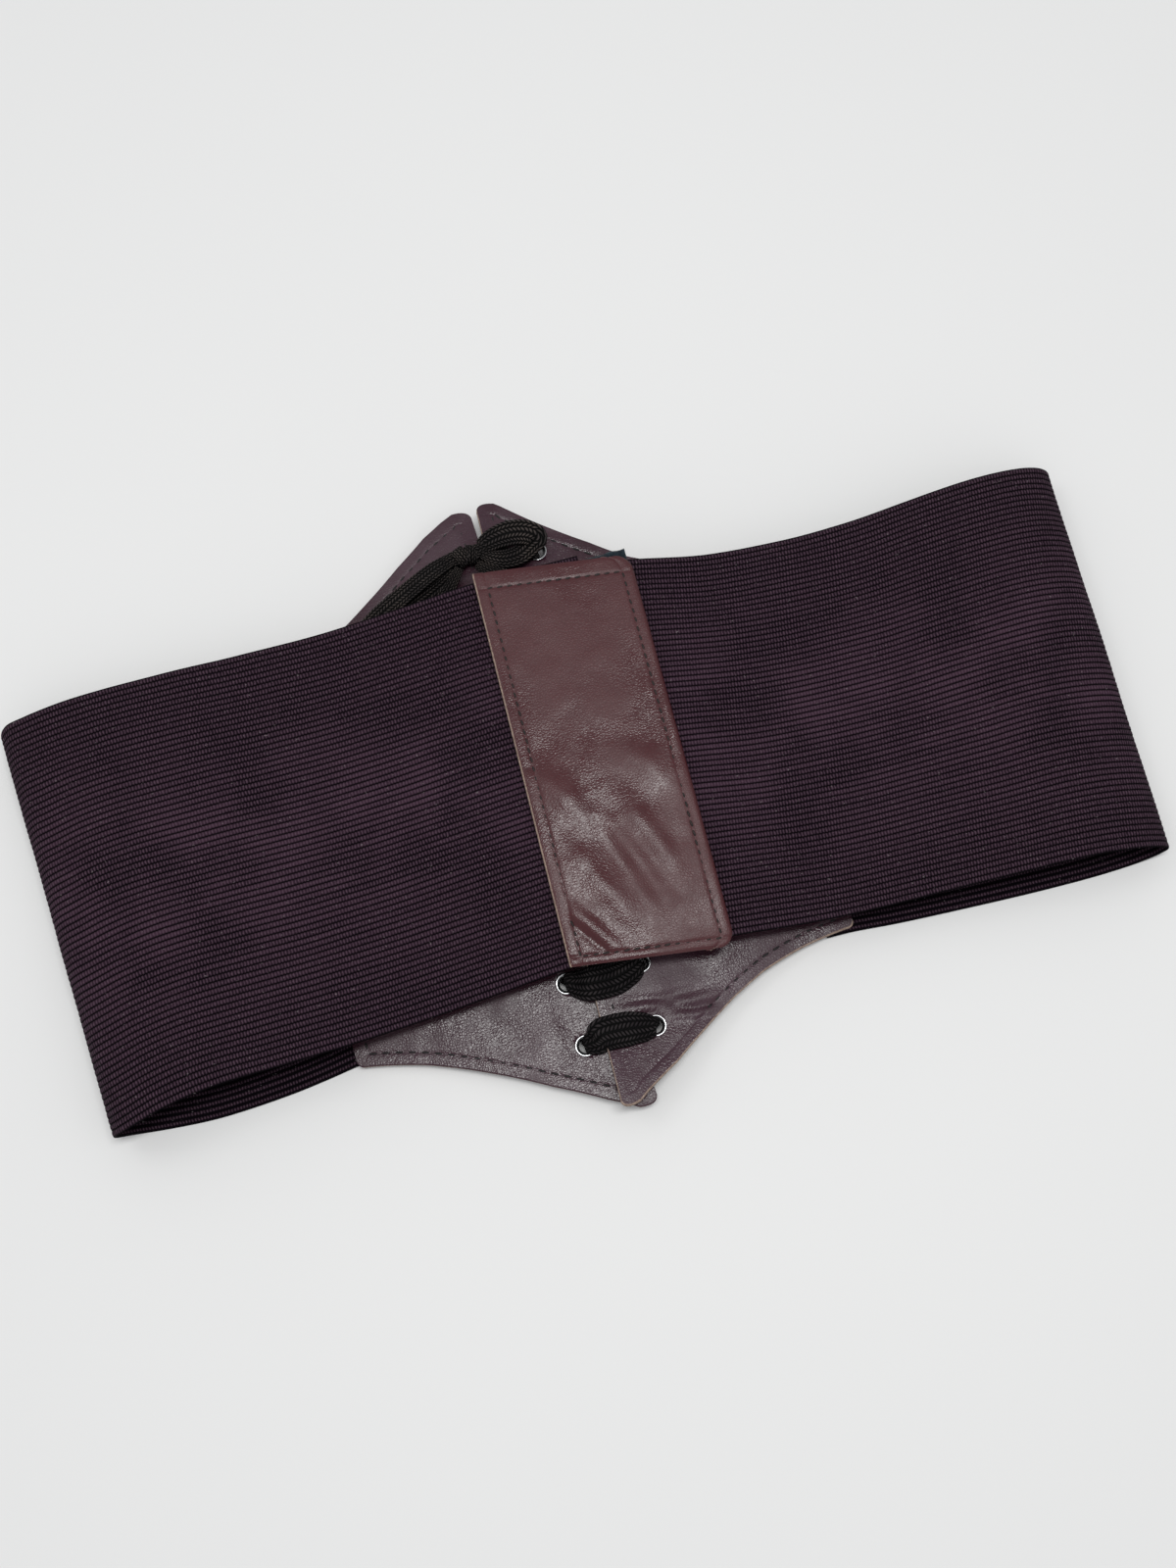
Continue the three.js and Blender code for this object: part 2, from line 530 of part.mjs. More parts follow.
function bowRows(route) {
  const curve = new THREE.CatmullRomCurve3(route.map(({ x, y, z }) => new THREE.Vector3(x, y, z)));
  const steps = (route.length - 1) * BOW_STEPS;
  const carried = UP.clone();
  return Array.from({ length: steps + 1 }, (_, k) => {
    const place = k / BOW_STEPS;
    const before = Math.min(Math.floor(place), route.length - 2);
    const share = place - before;
    const ahead = curve.getTangent(k / steps);
    carried.addScaledVector(ahead, -carried.dot(ahead)).normalize();
    const twist = lerp(route[before].twist, route[before + 1].twist, share);
    const up = carried.clone().applyAxisAngle(ahead, radians(twist));
    const wide = lerp(route[before].wide, route[before + 1].wide, share) * LACE_WIDTH;
    return laceRow(curve.getPoint(k / steps), up, wide);
  });
}

function knotGeometry() {
  const geometry = new THREE.SphereGeometry(0.5, 14, 10);
  geometry.rotateX(Math.PI / 2);
  geometry.scale(KNOT.length, KNOT.width, KNOT.height);
  return geometry.translate(KNOT.x, KNOT.y, KNOT.z);
}

const belt = new THREE.Group();
belt.add(panels.left, panels.right);
for (const side of Object.keys(SIDES)) {
  belt.add(piece(`elastic_${side}`, elasticBand(side), elastic));
}
belt.add(piece('fastener_strip', fastenerStrip(), fastener));
belt.add(piece('back_tab', backTab(), tabLeather));
belt.add(piece('lace', laceGeometryWhole(), braid));
belt.add(piece('bow_knot', knotGeometry(), braid));
for (const [name, route] of Object.entries(BOW_ROUTES)) {
  belt.add(piece(name, laceGeometry(bowRows(route)), braid));
}

export default belt;
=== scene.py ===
import math
from collections import namedtuple

import bmesh
import bpy
from mathutils import Matrix, Vector
from mathutils.noise import noise


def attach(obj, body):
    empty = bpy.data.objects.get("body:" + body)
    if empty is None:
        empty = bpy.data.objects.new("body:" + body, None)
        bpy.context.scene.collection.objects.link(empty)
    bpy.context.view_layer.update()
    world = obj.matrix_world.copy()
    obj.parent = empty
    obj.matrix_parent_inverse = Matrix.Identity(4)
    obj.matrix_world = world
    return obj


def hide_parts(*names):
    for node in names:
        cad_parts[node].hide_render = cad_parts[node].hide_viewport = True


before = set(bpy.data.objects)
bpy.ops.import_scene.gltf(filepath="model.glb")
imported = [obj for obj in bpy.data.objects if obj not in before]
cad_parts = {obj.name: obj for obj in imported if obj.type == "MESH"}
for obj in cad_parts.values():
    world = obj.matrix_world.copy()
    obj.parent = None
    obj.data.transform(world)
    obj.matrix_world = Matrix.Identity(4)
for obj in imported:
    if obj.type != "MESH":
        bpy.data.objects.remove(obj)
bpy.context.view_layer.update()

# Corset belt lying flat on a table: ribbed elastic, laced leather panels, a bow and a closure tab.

scene = bpy.context.scene
BODY = "root"
MM = 0.001

# Sizes of the belt, in millimetres
BAND_WIDTH = 151
BAND_THICK = 1.6
BELT_LENGTH = 411.4
LOOP_HEIGHT = 22
FOLD_LEAN = {"left": 10.3, "right": 7.7}
RIBS = 70
PANEL_WIDTH = 98.5
PANEL_HEIGHT = 232
PANEL_INNER_EDGE = 229
PANEL_OUTER_EDGE = 151
PANEL_WAIST = 166
PANEL_THICK = 1.8
PANEL_CORNER = 3
PANEL_TIP = 7
PANEL_OVERLAP = 14
PANEL_MIDDLE_Y = -1.3
PANEL_PLACE = {"left": (-11.2, 1.64), "right": (-16.8, -2.28)}
TAB_WIDTH = 58
TAB_LENGTH = 150.5
TAB_THICK = 1.6
TAB_CORNER = 6
TAB_HEIGHT = 25.5
TAB_MIDDLE = (5.9, 4.3)
TAB_LEAN = 1.8
TAB_END_TILT = 8.3
TAB_DROOP = 2.4
TAB_LAP = {"left": 42, "right": 10}
STRIP_THICK = 1.2
ROWS = 9
EYELET_PITCH = 23.2
EYELET_INSET = 18.8
EYELET_MIDDLE = 1.5
EYELET_DIAMETER = 7.8
EYELET_HOLE = 5
EYELET_WALL = 0.4
RIM_THICK = 0.5
LACE_WIDTH = 10
LACE_THICK = 1.6
GAP = 0.3
FLOOR_GAP = 0.15
SEAM_LAP = 10
BRAID_COLUMNS = 6
PLAIT = 1.45
PLAIT_SLANT = 0.9
STITCH_WIDTH = 0.85

SIDES = {"left": -1, "right": 1}
UP = Vector((0, 0, 1))
DOWN = Vector((0, 0, -1))


def lerp(start, end, share):
    return start + (end - start) * share


def smoothstep(value, low, high):
    share = min(max((value - low) / (high - low), 0), 1)
    return share * share * (3 - 2 * share)


def ridge(distance, width):
    return math.exp(-(distance / width) ** 2)


def add_object(name, data):
    made = bpy.data.objects.new(name, data)
    scene.collection.objects.link(made)
    return made


# The camera: high over the near edge, turned a little to the left
CAMERA_PLACE = (-40.6, -141.95, 595.5)
CAMERA_TURN = 15.95
CAMERA_FALL = 76
CAMERA_LENS = 37.58


def set_camera():
    turn, fall = math.radians(CAMERA_TURN), math.radians(CAMERA_FALL)
    level = Vector((math.sin(turn), math.cos(turn), 0))
    right = Vector((math.cos(turn), -math.sin(turn), 0))
    forward = level * math.cos(fall) + DOWN * math.sin(fall)
    rotation = Matrix((right, right.cross(forward), -forward)).transposed()
    data = bpy.data.cameras.new("camera")
    data.sensor_fit = "VERTICAL"
    data.sensor_height = 36
    data.lens = CAMERA_LENS
    data.clip_start = 0.01
    scene.camera = add_object("camera", data)
    scene.camera.matrix_world = Matrix.Translation(Vector(CAMERA_PLACE) * MM) @ rotation.to_4x4()


set_camera()


# Shader maths: a socket that can be used in Python expressions
def with_other(operation):
    return lambda self, other: self.maths(operation, self, other)


def alone(operation):
    return lambda self: self.maths(operation, self)


class Value:
    def __init__(self, surface, socket):
        self.surface = surface
        self.socket = socket

    def maths(self, operation, *values, clamp=False):
        settings = {"operation": operation, "use_clamp": clamp}
        return self.surface.node("Math", dict(enumerate(values)), **settings)

    def __rsub__(self, other):
        return self.maths("SUBTRACT", other, self)

    def clamped(self):
        return self.maths("ADD", self, 0, clamp=True)

    __add__ = __radd__ = with_other("ADD")
    __sub__ = with_other("SUBTRACT")
    __mul__ = __rmul__ = with_other("MULTIPLY")
    __truediv__ = with_other("DIVIDE")
    __pow__ = with_other("POWER")
    abs, floor, fraction = alone("ABSOLUTE"), alone("FLOOR"), alone("FRACT")


class Surface:
    """A material under construction: its nodes, its colour and its relief"""

    def __init__(self, name):
        self.material = bpy.data.materials.new(name)
        self.material.use_nodes = True
        self.tree = self.material.node_tree
        self.shader = self.tree.nodes["Principled BSDF"]
        self.place = self.node("TexCoord", {}, "Object")

    def node(self, kind, sockets, output=0, **settings):
        """Adds a node: its settings first, then the values or links of its sockets"""
        node = self.tree.nodes.new("ShaderNode" + kind)
        for name, value in settings.items():
            setattr(node, name, value)
        for name, value in sockets.items():
            self.put(node.inputs[name], value)
        return Value(self, node.outputs[output])

    def put(self, socket, value):
        if isinstance(value, Value):
            self.tree.links.new(value.socket, socket)
        elif socket.type == "RGBA":
            socket.default_value = (*value, 1)
        else:
            socket.default_value = value

    def set(self, **sockets):
        """Sets the shader's sockets, named with underscores, and returns the material"""
        for name, value in sockets.items():
            self.put(self.shader.inputs[name.replace("_", " ")], value)
        return self.material

    def flat(self):
        """The two directions of the piece's own flat map"""
        uv = self.node("UVMap", {}, uv_map="flat")
        return [self.node("SeparateXYZ", {0: uv}, axis) for axis in ("X", "Y")]

    def point(self, x, y):
        return self.node("CombineXYZ", {0: x, 1: y})

    def noise(self, scale, detail=3, roughness=0.5, at=None):
        sockets = {"Vector": at or self.place, "Scale": scale, "Detail": detail, "Roughness": roughness}
        return self.node("TexNoise", sockets)

    def cells(self, scale):
        """Distance to the edges of small uneven cells"""
        sockets = {"Vector": self.place, "Scale": scale}
        return self.node("TexVoronoi", sockets, "Distance", feature="DISTANCE_TO_EDGE")

    def stretched(self, *scale):
        return self.node("Mapping", {"Vector": self.place, "Scale": scale})

    def between(self, value, low, high):
        """0 below low, 1 above high"""
        return self.node("MapRange", {"Value": value, "From Min": low, "From Max": high}, clamp=True)

    def blend(self, share, first, second):
        return self.node("Mix", {0: share, 6: first, 7: second}, 2, data_type="RGBA")

    def relief(self, height, distance, strength=1.0, **under):
        """A bump in millimetres, over an earlier one where Normal gives it"""
        sockets = {"Strength": strength, "Distance": distance * MM, "Height": height}
        return self.node("Bump", {**sockets, **under})


def elastic_surface():
    """Ribbed dark webbing: soft thread on each rib, painted deep shade between the ribs, painted patches of
    lit and shaded thread, painted shade towards both edges and painted highlights on the thread's turns
    """
    look = Surface("ribbed_elastic")
    along, rib = look.flat()
    in_rib = (rib.fraction() - 0.5).abs() * 2
    groove = look.between(in_rib, 0.36, 0.8)
    threads = look.noise(1.15, 2, at=look.point(along, rib * 2.2))
    turns = ((along * 0.85 + rib.floor() * 0.37 + threads * 0.5).fraction() - 0.5).abs() * 2
    wear_and_light_patches = look.noise(1.4, 4, at=look.point(along * 0.02, rib * 0.045))
    streaks = look.noise(1.0, 2, at=look.point(along * 0.03, rib))
    # painted light: random patches of lit and unlit thread colour; the same noise also varies the painted
    # shade below
    lit = look.between(wear_and_light_patches * 0.7 + streaks * 0.3, 0.4, 0.62)
    thread = look.blend(lit, (0.0114, 0.0053, 0.0102), (0.0455, 0.0233, 0.0374))
    # painted shade: the thread darkens unevenly towards both edges of the band
    shaded = look.between((rib / RIBS - 0.49).abs() + (wear_and_light_patches - 0.5) * 0.5, 0.16, 0.47)
    thread = look.blend(shaded * 0.85, thread, (0.0088, 0.0041, 0.0079))
    # painted highlight: the tops of the thread's turns take a pale colour
    painted_highlight = look.between(turns * 0.6 + threads * 0.6, 0.5, 0.95)
    thread = look.blend(painted_highlight, thread, (0.089, 0.0525, 0.075))
    # painted shade: the grooves between the ribs are nearly black
    colour = look.blend(groove, thread, (0.0022, 0.0012, 0.0026))
    lint = look.between(look.noise(900, 1), 0.74, 0.78)
    colour = look.blend(lint * 0.35, colour, (0.3, 0.26, 0.27))
    normal = look.relief((1 - in_rib ** 2) * 1.6 + turns * 0.5 + threads * 0.8, 0.4, 0.9)
    return look.set(Base_Color=colour, Roughness=0.8 + groove * 0.15, Normal=normal, Specular_IOR_Level=0.06)


def leather_surface(name, dark, mid, pale, shine):
    """Soft leather: fine grain, clouded dye, rubbed pale patches and small pits"""
    look = Surface(name)
    clouds = look.noise(28, 4, 0.55)
    fine = look.noise(420, 3, 0.6)
    grain = look.between(look.cells(1050), 0.0, 0.3)
    coarse = look.between(look.cells(430), 0.0, 0.2)
    colour = look.blend(look.between(clouds, 0.36, 0.66), dark, mid)
    rubbed = look.between(look.noise(60, 3), 0.52, 0.74)
    colour = look.blend(rubbed * 0.4, colour, pale)
    # painted shade: the furrows between the grain cells are darkened
    colour = look.blend((1 - grain) * 0.3, colour, tuple(part * 0.4 for part in dark))
    creased = look.noise(120, 2, 0.4, look.stretched(1, 0.35, 1))
    base = look.relief(look.noise(55, 2, 0.4), 1.6, 0.4)
    normal = look.relief(grain * 0.7 + coarse * 0.35 + fine * 0.2, 0.052, 0.9, Normal=base)
    normal = look.relief(creased, 0.3, 0.4, Normal=normal)
    matt = look.between(look.noise(26, 3, 0.6), 0.46, 0.6)
    rough = shine + matt * 0.22 + (fine - 0.5) * 0.1 + (1 - grain) * 0.05
    return look.set(Base_Color=colour, Roughness=rough.clamped(), Normal=normal, Specular_IOR_Level=0.36)


def fibre_surface(name, dark, pale, scale, detail, softness, drawn, span, depth, rough):
    """Fine fibres or strands: drawn out along z, with painted shade between them and painted light on their
    tops
    """
    look = Surface(name)
    fibres = look.noise(scale, detail, softness, look.stretched(1, 1, drawn))
    colour = look.blend(look.between(fibres, *span), dark, pale)
    return look.set(Base_Color=colour, Roughness=rough, Normal=look.relief(fibres, depth, 0.6))


def braid_surface(name, pale, rubbed):
    """Flat braid: columns of slanting plaits, each with its own fine threads"""
    look = Surface(name)
    along, column = look.flat()
    odd = (column.floor() * 0.5).fraction() * 2
    in_column = column.fraction() - 0.5
    slant = in_column * (odd * 2 - 1) * PLAIT_SLANT
    plait = (along / PLAIT + odd * 0.5 + slant).fraction() - 0.5
    body = (1 - (in_column * 2) ** 2) * (1 - (plait * 2) ** 2)
    threads = look.noise(1.6, 2, 0.6, look.point(along * 2.4 + column * 1.1, column * 5.0))
    wear_and_light_patches = look.noise(140, 2)
    # painted light and shade: the plaits' tops take the pale colour and the gaps between them are nearly
    # black
    lit = look.between(body * 0.8 + threads * 0.4, 0.5, 1.0)
    colour = look.blend(lit, (0.0006, 0.0005, 0.0006), pale)
    colour = look.blend(look.between(wear_and_light_patches, 0.42, 0.66) * lit * 0.7, colour, rubbed)
    normal = look.relief(body + threads * 0.25, 0.6, 1.0)
    return look.set(Base_Color=colour, Roughness=0.7, Normal=normal, Specular_IOR_Level=0.12)


def fastener_surface():
    """Brushed teal pile of the fastener strip"""
    look = Surface("fastener_pile")
    fuzz = look.noise(1300, 3, 0.7)
    tufts = look.noise(320, 3)
    lit = look.between(fuzz * 0.5 + tufts * 0.5, 0.4, 0.62)
    colour = look.blend(lit, (0.004, 0.009, 0.014), (0.016, 0.03, 0.04))
    normal = look.relief(fuzz + tufts, 0.5, 0.8)
    return look.set(Base_Color=colour, Roughness=0.95, Normal=normal, Specular_IOR_Level=0.2,
                    Sheen_Weight=0.2)


def silver_surface():
    """Bright plated eyelets with faint handling marks"""
    look = Surface("plated_silver")
    marks = look.noise(700, 3, 0.6)
    dull = look.between(look.noise(160, 2), 0.45, 0.7)
    colour = look.blend(dull * 0.5, (0.62, 0.63, 0.64), (0.36, 0.36, 0.37))
    rough = 0.16 + marks * 0.14 + dull * 0.1
    return look.set(Base_Color=colour, Metallic=1.0, Roughness=rough, Normal=look.relief(marks, 0.05, 0.3))


def table_surface():
    """Pale, nearly even board"""
    look = Surface("pale_table")
    clouds = look.noise(3, 3)
    colour = look.blend(clouds, (0.775, 0.775, 0.775), (0.8, 0.8, 0.797))
    return look.set(Base_Color=colour, Roughness=0.6, Specular_IOR_Level=0.2)


ELASTIC = elastic_surface()
PANEL_LEATHER = leather_surface("panel_leather", (0.037, 0.0125, 0.0205), (0.053, 0.0205, 0.033),
                                (0.078, 0.043, 0.061), 0.18)
TAB_LEATHER = leather_surface("tab_leather", (0.057, 0.0115, 0.0145), (0.073, 0.017, 0.02),
                              (0.08, 0.027, 0.03), 0.2)
CUT_EDGE = fibre_surface("cut_edge", (0.16, 0.105, 0.085), (0.36, 0.27, 0.215), 900, 3, 0.7, 5, (0.35, 0.65),
                         0.2, 0.85)
TWIST = (1500, 2, 0.5, 1, (0.4, 0.62), 0.15, 0.7)
PANEL_THREAD = fibre_surface("panel_thread", (0.0012, 0.0008, 0.001), (0.006, 0.004, 0.005), *TWIST)
TAB_THREAD = fibre_surface("tab_thread", (0.0025, 0.0012, 0.0012), (0.02, 0.009, 0.008), *TWIST)
BRAID = braid_surface("braided_lace", (0.044, 0.037, 0.037), (0.104, 0.084, 0.074))
LACING_BRAID = braid_surface("braided_lacing", (0.02, 0.016, 0.018), (0.046, 0.039, 0.04))
FASTENER = fastener_surface()
SILVER = silver_surface()


def mesh_object(name, bm, materials):
    mesh = bpy.data.meshes.new(name)
    bm.to_mesh(mesh)
    bm.free()
    for material in materials:
        mesh.materials.append(material)
    return add_object(name, mesh)


def finished(name, bm, materials, nodes=()):
    """Puts a mesh in millimetres into the scene in metres, smooth, and riding on the belt"""
    bmesh.ops.scale(bm, vec=(MM, MM, MM), verts=bm.verts)
    for face in bm.faces:
        face.smooth = True
    piece = mesh_object(name, bm, materials)
    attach(piece, BODY)
    if nodes:
        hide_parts(*nodes)
    return piece


def cloth_grid(columns, rows, place, relief, flat, turned=False, cut=None):
    """A grid whose corners lie at place(column, row) and stand off it by relief(column, row).
    Faces whose corners are all cut(column, row) show the second material"""
    bm = bmesh.new()
    last = (len(columns) - 1, len(rows) - 1)
    bmesh.ops.create_grid(bm, x_segments=last[0], y_segments=last[1], size=1)
    if turned:
        bmesh.ops.reverse_faces(bm, faces=bm.faces)
    uv = bm.loops.layers.uv.new("flat")
    values = {}
    for vert in bm.verts:
        column, row = (round((part + 1) / 2 * count) for part, count in zip(vert.co, last))
        values[vert] = (columns[column], rows[row])
        vert.co = place(*values[vert])
    bm.normal_update()
    for vert, shift in [(vert, vert.normal * relief(*values[vert])) for vert in bm.verts]:
        vert.co += shift
    for vert, value in values.items():
        for loop in vert.link_loops:
            loop[uv].uv = flat(*value)
    if cut:
        for face in bm.faces:
            face.material_index = int(all(cut(*values[vert]) for vert in face.verts))
    return bm


def thicken(piece, thickness, rim=0):
    """Gives a finished cloth its wall, with the rim in another of its materials"""
    wall = piece.modifiers.new("wall", "SOLIDIFY")
    wall.thickness = thickness * MM
    wall.offset = 0
    wall.material_offset_rim = rim
    return piece


# Routes: a smooth curve through given points, as a flat strip follows it
def curve_point(points, place):
    """A point on the centripetal Catmull-Rom curve, place 0 to 1 by the points' order"""
    last = len(points) - 1
    at = place * last
    index = min(int(at), last - 1)
    share = at - index
    p1, p2 = points[index], points[index + 1]
    p0 = points[index - 1] if index > 0 else p1 * 2 - p2
    p3 = points[index + 2] if index + 2 <= last else p2 * 2 - p1
    d1 = math.sqrt((p1 - p2).length) or 1
    d0 = math.sqrt((p0 - p1).length) or d1
    d2 = math.sqrt((p2 - p3).length) or d1
    t1 = ((p1 - p0) / d0 - (p2 - p0) / (d0 + d1) + (p2 - p1) / d1) * d1
    t2 = ((p2 - p1) / d1 - (p3 - p1) / (d1 + d2) + (p3 - p2) / d2) * d1
    return (p1 + t1 * share + (p2 * 3 - p1 * 3 - t1 * 2 - t2) * share ** 2
            + (p1 * 2 - p2 * 2 + t1 + t2) * share ** 3)


Row = namedtuple("Row", "at up wide thick", defaults=[LACE_THICK])


def finer_rows(rows, spacing):
    """The same route in even short steps"""
    points = [row.at for row in rows]
    finer = []
    for index, (first, second) in enumerate(zip(rows, rows[1:])):
        count = max(1, round((second.at - first.at).length / spacing))
        for step in range(count):
            share = step / count
            at = curve_point(points, (index + share) / (len(rows) - 1))
            finer.append(Row(at, first.up.lerp(second.up, share), lerp(first.wide, second.wide, share),
                             lerp(first.thick, second.thick, share)))
    return [*finer, rows[-1]]


def braid_height(along, column):
    """Height of the plaits, 0 to 1"""
    odd = int(column) % 2
    in_column = column - int(column) - 0.5
    plait = along / PLAIT + odd * 0.5 + in_column * (odd * 2 - 1) * PLAIT_SLANT
    in_plait = plait - math.floor(plait) - 0.5
    return (1 - (in_column * 2) ** 2) * (1 - (in_plait * 2) ** 2)


def lace_strip(rows, spacing, around, relief):
    """A flat braid with round edges along the rows, its middle line and its length"""
    rows = finer_rows(rows, spacing)
    frames = []
    along = 0
    for index, row in enumerate(rows):
        before, after = rows[max(index - 1, 0)].at, rows[min(index + 1, len(rows) - 1)].at
        ahead = (after - before).normalized()
        up = (row.up - ahead * row.up.dot(ahead)).normalized()
        along += (row.at - before).length
        frames.append((row, up.cross(ahead), up, along))

    def place(index, turn):
        row, aside, up, _ = frames[index]
        angle = turn * 2 * math.pi
        wide, thick = math.cos(angle), math.sin(angle)
        wide = math.copysign(abs(wide) ** 0.8, wide)
        thick = math.copysign(abs(thick) ** 0.55, thick)
        return row.at + aside * (wide * row.wide / 2) + up * (thick * (row.thick / 2 - relief))

    def column(turn):
        across = abs(turn * 2 - 1) if turn >= 0.5 else 1 - turn * 2
        return min(max(0.5 - 0.5 * math.cos(across * math.pi), 0), 0.9999) * BRAID_COLUMNS

    turns = [step / around for step in range(around + 1)]
    bm = cloth_grid(range(len(rows)), turns, place,
                    lambda index, turn: relief * braid_height(frames[index][3], column(turn)),
                    lambda index, turn: (frames[index][3], column(turn)), turned=True)
    bmesh.ops.remove_doubles(bm, verts=bm.verts, dist=0.001)
    bmesh.ops.holes_fill(bm, edges=[edge for edge in bm.edges if edge.is_boundary], sides=0)
    bmesh.ops.recalc_face_normals(bm, faces=bm.faces)
    return bm, [row.at for row in rows], along


# Bow: two loops and two tails. Each row: a place, the share of the lace's width, degrees of twist
BOW_ROUTES = {
    "bow_loop_right": [
        (-14.6, 98, 13.4, 0.6, 0), (-10.5, 99.2, 14.2, 0.85, 0), (-4.2, 99.8, 15.2, 1, 0),
        (1.6, 98.8, 15.9, 1, 0), (5.4, 96.9, 15.8, 0.95, 0), (6.6, 95.3, 15, 0.9, 10),
        (4.5, 94, 14.2, 0.85, 25), (-0.9, 91, 13.9, 0.8, 30), (-6.7, 90.6, 14, 0.75, 30),
        (-11, 92.2, 14, 0.65, 35), (-14.6, 94.8, 13.9, 0.45, 45),
    ],
    "bow_loop_left": [
        (-26.8, 96.6, 12.2, 0.6, 10), (-33.8, 94.2, 12.2, 0.75, 12), (-43.1, 90.2, 11.6, 0.8, 12),
        (-52.2, 85.9, 10.9, 0.8, 8), (-59.2, 82.1, 10.6, 0.8, 0), (-64, 78.2, 10.4, 0.8, 0),
        (-64.8, 75, 9.2, 0.8, -20), (-61.2, 74.2, 8.2, 0.75, -30), (-55.4, 77.4, 7.9, 0.75, -20),
        (-48.6, 81.8, 8.2, 0.75, -10), (-40, 85.4, 8.9, 0.7, -5), (-32.6, 88.4, 10.2, 0.6, -10),
        (-26.4, 91.6, 11.9, 0.5, -30),
    ],
    "bow_tail_left": [
        (-24.4, 91.6, 14.2, 0.35, 0), (-28, 87.4, 14, 0.4, 0), (-33, 81.6, 12.4, 0.7, 0),
        (-37.4, 73, 9.4, 0.9, 0), (-40.4, 62, 8, 0.95, 0), (-43, 48, 7.6, 0.95, 0),
        (-46.4, 34, 7.5, 0.95, 0), (-52, 20, 7.3, 0.95, 0), (-60, 9, 7.1, 0.95, 0),
    ],
    "bow_tail_right": [
        (-17.6, 91.4, 14.4, 0.35, 0), (-13, 86.6, 14.6, 0.5, 0), (-5, 81, 13.8, 0.8, 0),
        (5, 75.4, 12.6, 0.95, 0), (13.4, 66.6, 10.6, 0.95, 0), (18.6, 54, 9.4, 0.95, 0),
        (21.4, 40, 9.1, 0.95, 0), (21.6, 26, 9, 0.95, 0), (18.6, 12, 9.1, 0.95, 0),
    ],
}
BOW_STEPS = 2


def bow_rows(route):
    """The strip's rows along a route, its upper side carried along the curve and then twisted"""
    points = [Vector(row[:3]) for row in route]
    steps = (len(route) - 1) * BOW_STEPS
    near = 0.25 / steps
    carried = UP.copy()
    rows = []
    for step in range(steps + 1):
        here = step / steps
        ahead = curve_point(points, min(here + near, 1)) - curve_point(points, max(here - near, 0))
        ahead.normalize()
        carried = (carried - ahead * carried.dot(ahead)).normalized()
        before = min(step // BOW_STEPS, len(route) - 2)
        share = step / BOW_STEPS - before
        wide, twist = (lerp(low, high, share) for low, high in zip(route[before][3:], route[before + 1][3:]))
        up = carried.copy()
        up.rotate(Matrix.Rotation(math.radians(twist), 3, ahead))
        rows.append(Row(curve_point(points, here), up, wide * LACE_WIDTH))
    return rows


for bow_name, bow_route in BOW_ROUTES.items():
    bow_mesh, middle, bow_length = lace_strip(bow_rows(bow_route), 0.4, 72, 0.26)
    bow_piece = finished(bow_name + "_braid", bow_mesh, [BRAID], [bow_name])
    middle[0] * MM
    bow_length * MM
    [point * MM for point in middle]


# Heights that the pieces share
EYELET_REACH = EYELET_INSET + LACE_WIDTH * 0.6
UNDER_LACE_TOP = FLOOR_GAP + 2 * LACE_THICK + GAP
END_LIFT = BAND_THICK + 2 * GAP
EYELET_LIFT = UNDER_LACE_TOP + 2 * GAP + RIM_THICK
LEFT_LIFT = END_LIFT + (EYELET_LIFT - END_LIFT) * PANEL_WIDTH / (PANEL_WIDTH - EYELET_REACH)
RIGHT_LIFT = END_LIFT + ((LEFT_LIFT + PANEL_THICK + GAP - END_LIFT) * PANEL_WIDTH
                         / (PANEL_WIDTH - PANEL_OVERLAP))
PANEL_LIFT = {"left": LEFT_LIFT, "right": RIGHT_LIFT}
RIM_TOP = PANEL_THICK + GAP + RIM_THICK
BAND_SEAT = TAB_HEIGHT - TAB_THICK - STRIP_THICK - BAND_THICK / 2 - 2 * GAP


def panel_matrix(side):
    x, turn = PANEL_PLACE[side]
    tilt = math.atan((PANEL_LIFT[side] - END_LIFT) / PANEL_WIDTH) * SIDES[side]
    place = Matrix.Translation((x, PANEL_MIDDLE_Y, PANEL_LIFT[side]))
    return place @ Matrix.Rotation(math.radians(turn), 4, "Z") @ Matrix.Rotation(tilt, 4, "Y")


PANEL_MATRIX = {side: panel_matrix(side) for side in SIDES}


def on_panel(side, inset, up, above):
    """A point by its distances from a panel's inner edge, from its middle and above its lower face"""
    return PANEL_MATRIX[side] @ Vector((SIDES[side] * inset, up, above))


def row_height(row):
    return EYELET_MIDDLE + (row - (ROWS + 1) / 2) * EYELET_PITCH


def quadratic(start, pull, end, share):
    return start * (1 - share) ** 2 + pull * 2 * share * (1 - share) + end * share ** 2


def panel_outline():
    """Points of the upper edge, from the inner edge to the outer one"""
    tip, outer = PANEL_HEIGHT / 2, PANEL_OUTER_EDGE / 2
    corners = [Vector(corner) for corner in (
        (0, PANEL_INNER_EDGE / 2), (0.1 * PANEL_TIP, tip + 1.9), (PANEL_TIP, tip),
        (0.53 * PANEL_WIDTH, PANEL_WAIST / 2), (PANEL_WIDTH - PANEL_CORNER, outer),
        (PANEL_WIDTH, outer), (PANEL_WIDTH, outer - PANEL_CORNER),
    )]
    points = []
    for first, steps in ((0, 8), (2, 96), (4, 6)):
        points += [quadratic(*corners[first:first + 3], step / steps) for step in range(steps)]
    return [*points, corners[6]]


OUTLINE = panel_outline()
SEAM_INSET = 4.5
CUT_WIDTH = 0.55
STITCH_PITCH = 4.7
HOLE_PLAY = 0.25
TIP_CURL = 0.13


